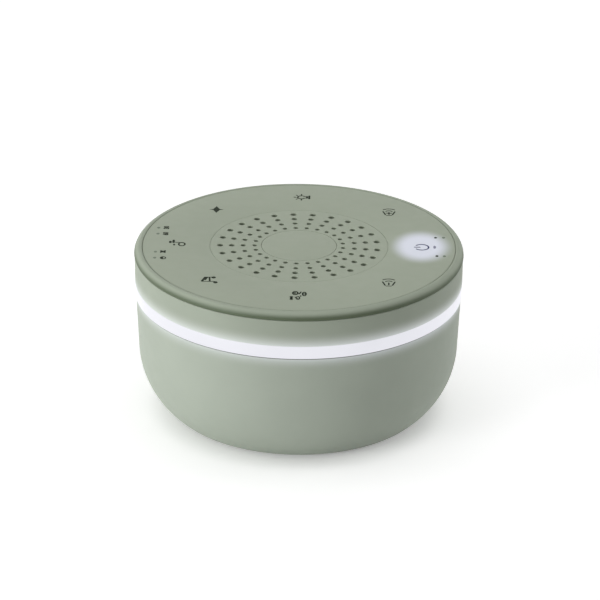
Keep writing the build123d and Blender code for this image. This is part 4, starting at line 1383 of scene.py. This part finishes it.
@dataclass
class Print:
    """Signs, numbers and small windows printed on the panel, read from the power key's side."""

    low: float = 63.54
    high: float = 63.592
    line: float = 0.56
    thin: float = 0.44
    wave: float = 0.5
    lower_beam: float = 0.65
    bar: float = 0.75
    inner_bar: float = 0.8
    thick: float = 0.9
    block: float = 1.0
    cap_steps: int = 8
    curve_steps: int = 4
    number_height: float = 1.85
    number_weight: float = 0.14
    number_share: float = 0.7  # a digit's height as a share of the face's size
    numbers: tuple[tuple[str, Pair], ...] = (("30", (-48.95, 14.4)), ("60", (-48.95, 8.8)))
    left_windows: tuple[float, ...] = (14.2, 8.7, -7.7, -13.1)
    left_windows_x: float = -51.9
    right_windows: tuple[float, ...] = (9.0, -7.8)
    right_windows_x: float = 52.8
    window_size: Pair = (0.6, 0.8)  # half its length along X and along Y, as below
    dots: tuple[tuple[Pair, Pair], ...] = (
        ((49.85, 8.85), (0.55, 0.65)),
        ((50.1, -7.75), (0.55, 0.75)),
    )
    faint_mark: tuple[Pair, Pair] = ((49.4, 0.2), (0.5, 1.3))

    def stroke(self, path: np.ndarray | list[Pair], width: float) -> Surface:
        """A line of even width with round ends.

        Each point of the path gives one point on either side, half the width away, square to the
        mean of the steps before and after it. Half circles close the ends.

        Args:
            path: One row of x and y for each point.
            width: The line's width.

        Returns:
            The closed plate.
        """
        path = np.asarray(path, float)
        step = np.diff(path, axis=0)
        step /= np.linalg.norm(step, axis=1)[:, None]
        mean = np.vstack([step[:1], step[:-1] + step[1:], step[-1:]])
        mean /= np.linalg.norm(mean, axis=1)[:, None]
        square = np.column_stack([-mean[:, 1], mean[:, 0]]) * width / 2
        front = math.degrees(math.atan2(mean[-1, 1], mean[-1, 0]))
        rear = math.degrees(math.atan2(mean[0, 1], mean[0, 0]))
        nose = arc(tuple(path[-1]), width / 2, front - 90, front + 90, self.cap_steps)
        tail = arc(tuple(path[0]), width / 2, rear + 90, rear + 270, self.cap_steps)
        outline = np.vstack([(path - square)[1:-1], nose, (path + square)[1:-1][::-1], tail])
        return prism(outline, self.low, self.high)

    def strokes(self, width: float, *paths: np.ndarray | list[Pair]) -> Surface:
        """Several lines of one width."""
        return joined([self.stroke(path, width) for path in paths])

    def ring(self, centre: Pair, half: Pair, hole: Pair, shift: float = 0.0) -> Surface:
        """A plate between an ellipse and the edge of its hole.

        Args:
            centre: Middle of the ellipse.
            half: Half its length and its height.
            hole: Half the hole's length and height.
            shift: How far the hole's middle lies below the ellipse's.

        Returns:
            The closed plate.
        """
        circle = arc((0, 0), 1.0, 0, 360, 40)[:-1]
        outer = circle * half + np.array(centre)
        inner = circle * hole + np.array(centre) - [0, shift]
        levels = (self.low, self.high, self.high, self.low)
        rings = []
        for edge, z in zip((outer, outer, inner, inner), levels):
            rings.append(np.column_stack([edge, np.full(len(edge), z)]))
        return loops(np.array([*rings, rings[0]]))

    def blob(self, centre: Pair, half: Pair) -> Surface:
        """A filled ellipse, given its middle and half its length and height."""
        edge = arc((0, 0), 1.0, 0, 360, 24)[:-1] * half + np.array(centre)
        return prism(edge, self.low, self.high)

    def power(self) -> Surface:
        """An open circle with a line in its gap."""
        return self.strokes(self.line, arc((0, 0), 2.5, 130, 410, 44), [(0, 0.7), (0, 2.6)])

    def loudness(self, louder: bool) -> Surface:
        """A horn with two waves, and a plus or a minus sign in it.

        Args:
            louder: True for the plus sign.

        Returns:
            The sign.
        """
        horn = [[(-2.2, side * 1.3), (0.75, side * 2.2)] for side in (-1, 1)]
        minus, upright = [(-1.8, 0), (-0.1, 0)], [(-0.7, -0.9), (-0.7, 0.9)]
        made = self.strokes(self.line, *horn, minus)
        if louder:
            made += self.stroke(upright, self.line)
        made += self.stroke([(-2.8, 0.9), (-2.8, -0.9)], self.thin)
        waves = [arc((0.2, 0), 1.35, -55, 55, 14), arc((0.3, 0), 3.0, -43, 43, 14)]
        return made + self.strokes(self.wave, *waves)

    def lamp(self) -> Surface:
        """A bulb over its base, with five rays.

        Returns:
            The sign.
        """
        made = self.stroke(arc((0, 0), 1.4, -50, 230, 30), self.line)
        for half, low in ((0.75, -2.1), (1.35, -2.95)):
            made += self.stroke([(-half, low), (half, low)], self.bar)
        for side in (-1, 1):
            made += self.stroke([(side * 1.1, -0.85), (side * 0.6, -1.8)], self.thin)
        for turn in (0, 45, 90, 135, 180):
            way = np.array([math.cos(math.radians(turn)), math.sin(math.radians(turn))])
            made += self.stroke([way * 2.05, way * 2.75], self.thin if turn % 90 else self.line)
        return made

    def mirrored(self, corners: list[Pair]) -> Surface:
        """A filled outline whose second half is the first, turned half round."""
        return prism(np.vstack([corners, -np.array(corners)]), self.low, self.high)

    def timer(self) -> Surface:
        """A dial with three plain bars beside it.

        Returns:
            The sign.
        """
        made = self.ring((-0.75, -1.6), (1.75, 1.45), (1.1, 0.85))
        made += self.stroke([(0.95, 0.9), (0.7, -0.8)], self.thin)
        made += self.stroke([(0.6, 2.65), (1.6, 2.65)], self.block)
        made += self.stroke([(0.7, 1.5), (2.7, 1.5)], self.thick)
        return made + self.stroke([(-1.6, 1.15), (-0.9, 1.15)], self.bar)

    def music(self) -> Surface:
        """Two notes under slanted beams.

        Returns:
            The sign.
        """
        made = self.blob((2.05, -1.2), (0.85, 0.8)) + self.blob((-2.15, -2.0), (0.85, 0.8))
        made += self.strokes(self.thin, [(2.35, -1.0), (2.35, 1.7)], [(-1.4, -1.9), (-1.4, 2.8)])
        made += self.stroke([(1.9, 1.1), (0.0, 1.7)], self.line)
        made += self.stroke([(2.1, 1.8), (-1.1, 2.8)], self.thick)
        return made + self.stroke([(2.2, 0.3), (-1.3, 0.05)], self.lower_beam)

    def sounds(self) -> Surface:
        """A group of rings, dots and bars for the sounds to choose from.

        Returns:
            The sign.
        """
        made = self.ring((1.9, 1.1), (1.7, 1.2), (0.95, 0.55)) + self.blob((1.9, 1.2), (0.65, 0.4))
        made += self.strokes(self.line, [(1.2, -0.3), (2.9, -0.9)], [(-0.8, -0.85), (-0.3, -0.85)])
        made += self.ring((1.25, -2.1), (1.85, 0.9), (1.1, 0.35))
        made += self.stroke([(1.25, -2.6), (1.25, -1.6)], self.inner_bar)
        made += self.stroke([(-3.2, 2.4), (-1.5, 2.4)], self.thick)
        made += self.blob((-3.3, 2.4), (0.55, 0.65)) + self.blob((-1.4, 2.4), (0.55, 0.65))
        made += self.ring((-2.25, 0.1), (1.5, 0.85), (0.9, 0.42), -0.1)
        return made + self.stroke([(-1.5, 1.1), (-2.6, 0.2)], self.wave)

    def shape(self, sign: Sign) -> Surface:
        """Makes a sign about its own middle, with +Y as up.

        Args:
            sign: Which sign.

        Returns:
            All its strokes and fills.
        """
        makers = {
            Sign.POWER: self.power,
            Sign.LOUDER: lambda: self.loudness(True),
            Sign.LAMP: self.lamp,
            Sign.STAR: lambda: self.mirrored([(3.1, 0), (0.4, 1.25), (0, 2.7), (-0.4, 1.25)]),
            Sign.TIMER: self.timer,
            Sign.MUSIC: self.music,
            Sign.SOUNDS: self.sounds,
            Sign.QUIETER: lambda: self.loudness(False),
            Sign.HOURGLASS: lambda: self.mirrored([(-1.3, -1.0), (1.3, -1.0), (0.65, 0.0)]),
            Sign.MOON: lambda: self.ring((0, -0.1), (1.25, 1.15), (0.6, 0.4), 0.35),
        }
        return makers[sign]()

    def set_down(self, shape: Surface, place: Pair) -> Surface:
        """Turns a shape so that its top points to -X, and moves it to its place."""
        x, y, z = shape.points.T
        return Surface(np.column_stack([place[0] - y, place[1] + x, z]), shape.faces)

    def number(self, text: str, place: Pair, name: str) -> None:
        """Prints a plain number, made from the built-in face as a closed mesh.

        Args:
            text: The digits.
            place: Middle of the number, in millimetres.
            name: The piece's name.
        """
        curve = bpy.data.curves.new(name, "FONT")
        curve.body, curve.align_x, curve.align_y = text, "CENTER", "CENTER"
        curve.size = self.number_height * MM / self.number_share
        curve.offset = self.number_weight * MM
        curve.extrude = (self.high - self.low) / 2 * MM
        curve.resolution_u = self.curve_steps
        source = bpy.data.objects.new(name, curve)
        bpy.context.scene.collection.objects.link(source)
        bpy.context.view_layer.update()
        graph = bpy.context.evaluated_depsgraph_get()
        mesh = bpy.data.meshes.new_from_object(source.evaluated_get(graph))
        bpy.data.objects.remove(source)
        height = (self.low + self.high) / 2 * MM
        turn = Matrix.Rotation(math.radians(90), 4, "Z")
        mesh.transform(Matrix.Translation((place[0] * MM, place[1] * MM, height)) @ turn)
        settle(mesh, name, Look.INK)

    def make(self) -> None:
        """Builds every sign, number, dot and window."""
        for sign in Sign:
            ink = Look.POWER_INK if sign is Sign.POWER else Look.INK
            shape = self.set_down(self.shape(sign), sign.value)
            build(shape, f"sign_{sign.name.lower()}", ink)
        for count, (digits, place) in enumerate(self.numbers, 1):
            self.number(digits, place, f"number_{count}")
        windows = [(self.left_windows_x, y) for y in self.left_windows]
        windows += [(self.right_windows_x, y) for y in self.right_windows]
        for count, place in enumerate(windows, 1):
            spot = self.blob(place, self.window_size)
            build(spot, f"light_window_{count}", Look.PALE_INK, "milky_plastic")
        for count, (place, half) in enumerate(self.dots, 1):
            build(self.blob(place, half), f"dot_{count}", Look.INK)
        build(self.blob(*self.faint_mark), "faint_mark", Look.FAINT_INK)


# What the housing holds


class Slot(Enum):
    """The record's material slots and the looks that go with them."""

    housing_plastic = Look.BOWL
    panel_plastic = Look.GRILLE
    milky_plastic = Look.GUIDE
    white_plastic = Look.WHITE
    grey_rubber = Look.FOOT
    black_rubber = Look.ROLL
    black_cloth = Look.CLOTH
    brown_cloth = Look.SPIDER
    black_foam = Look.FOAM
    black_paper = Look.CONE
    brown_paper = Look.BOARD
    circuit_board = Look.CIRCUIT
    chip_black = Look.CHIP
    led_white = Look.LIGHTS
    zinc_steel = Look.STEEL
    ferrite = Look.FERRITE
    copper = Look.COPPER
    capacitor_can = Look.CAN
    cell_wrap = Look.SLEEVE
    ribbon_film = Look.FILM
    lead_black = Look.BLACK_WIRE
    lead_red = Look.RED_WIRE


@dataclass
class Spider:
    """The corrugated cloth disc that centres the former in the air gap.

    Its inner lip stands on the first crest, clear of the winding at the top of its travel.
    """

    inner_radius: float = 10.1
    waves_end: float = 17.4
    outer_radius: float = 20.9
    seat: float = 45.6
    waves: int = 3
    first_crest: float = 0.25  # in waves, from the inner edge
    wave_height: float = 0.9
    thickness: float = 0.4
    segments: int = 96
    steps: int = 49

    def make(self) -> None:
        """Builds the spider in place of its CAD node.

        The height of its underside is a sine of the radius, held at the first crest further in.
        """
        radius = np.linspace(self.inner_radius, self.waves_end, self.steps)
        turns = self.waves * (radius - self.inner_radius) / (self.waves_end - self.inner_radius)
        turns = np.maximum(turns, self.first_crest)
        height = self.seat + self.wave_height / 2 * np.sin(2 * np.pi * turns)
        under = np.vstack([np.column_stack([radius, height]), [(self.outer_radius, self.seat)]])
        profile = np.vstack([under, under[::-1] + (0, self.thickness)])
        build(turned(profile, self.segments), "spider_disc", Look.SPIDER, "brown_cloth", "spider")


@dataclass
class InnerWorks:
    """The loudspeaker, boards, battery, screws and leads, which keep their CAD meshes."""

    subparts: list[dict[str, str]]

    def make(self) -> None:
        """Gives each CAD node the finish of its slot."""
        for part in self.subparts:
            node = frame["nodes"][part["node"]]
            finish = Slot[part["material_slot"]].value.value
            node.data.materials.clear()
            node.data.materials.append(finish.material())
            LOG.info("%s: %s", part["node"], finish.name)


# Studio


@dataclass(frozen=True)
class Lamp:
    """One soft lamp.

    Args:
        name: Its name.
        power: Its power in watts.
        size: Length of its sides in metres.
        place: Where it hangs, in metres.
    """

    name: str
    power: float
    size: float
    place: Triple


@dataclass
class Studio:
    """Floor, world, lamps and the camera at the photograph's place."""

    lamps: tuple[Lamp, ...] = (
        Lamp("key_left", 13.1, 0.6, (-1.2, -0.9, 0.25)),
        Lamp("left_edge", 4.0, 0.8, (-1.4, 0.1, 0.3)),
        Lamp("top_soft", 9.4, 1.6, (0.0, 0.25, 1.5)),
        Lamp("right_edge", 3.3, 0.7, (1.2, 0.25, 0.35)),
    )
    aim: Triple = (0.0, 0.0, 0.035)
    ambient: float = 0.2
    floor_half: float = 4.0
    floor_tint: float = 0.95
    floor_light: float = 0.44
    # Painted contact shadow: the floor's own light is dimmed near the object.
    contact: Triple = (43.0, 58.0, 0.55)  # radii in mm, share of its light at the first
    horizon: Pair = (350.0, 1000.0)  # radii in mm between which it turns all white
    distance: float = 1.32663
    elevation: float = 23.650
    yaw: float = -0.0346
    pitch: float = -0.8658
    roll: float = 0.5273
    plan_turn: float = 0.9
    lens: float = 218.506
    sensor: float = 36.0
    clip: Pair = (0.05, 20.0)
    shift: Pair = (-0.7 / PHOTO_SIDE, 0.35 / PHOTO_SIDE)

    def camera(self) -> None:
        """Puts the camera where the photograph was taken from.

        It looks from its elevation at the middle of the top face, is then turned by its small yaw,
        pitch and roll, and the whole is turned about the vertical axis by the plan turn.
        """
        up_angle = math.radians(self.elevation)
        away = np.array([0.0, -math.cos(up_angle), math.sin(up_angle)])
        right = np.array([1.0, 0.0, 0.0])
        aimed = np.column_stack([right, np.cross(away, right), away])
        turns = Matrix.Rotation(math.radians(self.yaw), 3, "Y")
        turns = turns @ Matrix.Rotation(math.radians(self.pitch), 3, "X")
        turns = turns @ Matrix.Rotation(math.radians(self.roll), 3, "Z")
        plan = Matrix.Rotation(math.radians(self.plan_turn), 4, "Z")
        pose = Matrix((aimed @ np.array(turns)).tolist()).to_4x4()
        pose.translation = away * self.distance
        data = bpy.data.cameras.new("photo_camera")
        data.lens, data.sensor_width = self.lens, self.sensor
        data.clip_start, data.clip_end = self.clip
        data.shift_x, data.shift_y = self.shift
        camera = bpy.data.objects.new("photo_camera", data)
        bpy.context.scene.collection.objects.link(camera)
        camera.matrix_world = Matrix.Translation((0, 0, CAD_BOX[1].z)) @ plan @ pose
        bpy.context.scene.camera = camera

    def seen(self, tree: bpy.types.NodeTree) -> Socket:
        """Marks the rays that show a background: from the camera, off gloss or through glass.

        Args:
            tree: The nodes of the floor or the world.

        Returns:
            1 for such rays and 0 for the others.
        """
        path = tree.nodes.new("ShaderNodeLightPath")
        total = path.outputs["Is Camera Ray"]
        for key in ("Is Glossy Ray", "Is Transmission Ray"):
            node = tree.nodes.new("ShaderNodeMath")
            node.operation = "MAXIMUM"
            tree.links.new(total, node.inputs[0])
            tree.links.new(path.outputs[key], node.inputs[1])
            total = node.outputs[0]
        return total

    def floor(self) -> None:
        """Lays the pale floor: white to the eye; it keeps the object's shadow, and near the object
        its own light is dimmed as a painted contact shadow.
        """
        half = self.floor_half
        mesh = bpy.data.meshes.new("floor")
        corners = [(-half, -half, 0), (half, -half, 0), (half, half, 0), (-half, half, 0)]
        mesh.from_pydata(corners, [], [(0, 1, 2, 3)])
        floor = bpy.data.objects.new("floor", mesh)
        bpy.context.scene.collection.objects.link(floor)
        sheet = NodeSheet("pale_floor")
        sheet.set(Base_Color=(self.floor_tint,) * 3, Roughness=0.9, Specular_IOR_Level=0.0)
        # Painted contact shadow: the own light falls to a share of itself near the object.
        near, far, share = self.contact
        ends = (share * self.floor_light, self.floor_light)
        shadowed_own_light = sheet.remap(sheet.radius(), metres(near, far), ends)
        rest = (0.0, 1.0 - self.floor_light)
        rising = sheet.remap(sheet.radius(), metres(*self.horizon), rest)
        own_light = sheet.math("ADD", shadowed_own_light, rising)
        strength = sheet.math("MULTIPLY", self.seen(sheet.tree), own_light)
        sheet.set(Emission_Color=WHITE, Emission_Strength=strength)
        mesh.materials.append(sheet.material)

    def world(self) -> None:
        """White behind everything, and a plain grey sky as light."""
        world = bpy.data.worlds.new("studio")
        world.use_nodes = True
        tree = world.node_tree
        back = tree.nodes["Background"]
        spread = tree.nodes.new("ShaderNodeMapRange")
        spread.inputs["To Min"].default_value = self.ambient
        spread.inputs["To Max"].default_value = 1.0
        tree.links.new(self.seen(tree), spread.inputs["Value"])
        tree.links.new(spread.outputs["Result"], back.inputs["Strength"])
        back.inputs["Color"].default_value = (*WHITE, 1.0)
        bpy.context.scene.world = world

    def light(self) -> None:
        """Hangs the lamps and aims them at the object."""
        for lamp in self.lamps:
            data = bpy.data.lights.new(lamp.name, "AREA")
            data.energy, data.size = lamp.power, lamp.size
            holder = bpy.data.objects.new(lamp.name, data)
            bpy.context.scene.collection.objects.link(holder)
            turn = (Vector(lamp.place) - Vector(self.aim)).to_track_quat("Z", "Y").to_matrix()
            holder.matrix_world = Matrix.Translation(lamp.place) @ turn.to_4x4()

    def make(self) -> None:
        """Sets up the whole studio."""
        bpy.context.scene.view_settings.view_transform = "Standard"
        self.camera()
        self.world()
        self.floor()
        self.light()


def main() -> None:
    """Builds the studio, the inner works and every sub-assembly in order."""
    logging.basicConfig(level=logging.INFO, format="%(name)s: %(message)s")
    Studio().make()
    InnerWorks(frame["record"]["subparts"]).make()
    for assembly in (Bowl(), Band(), Lid(), Grille(), Print(), Spider()):
        assembly.make()
        LOG.info("%s built", type(assembly).__name__)


if __name__ == "__main__":
    main()
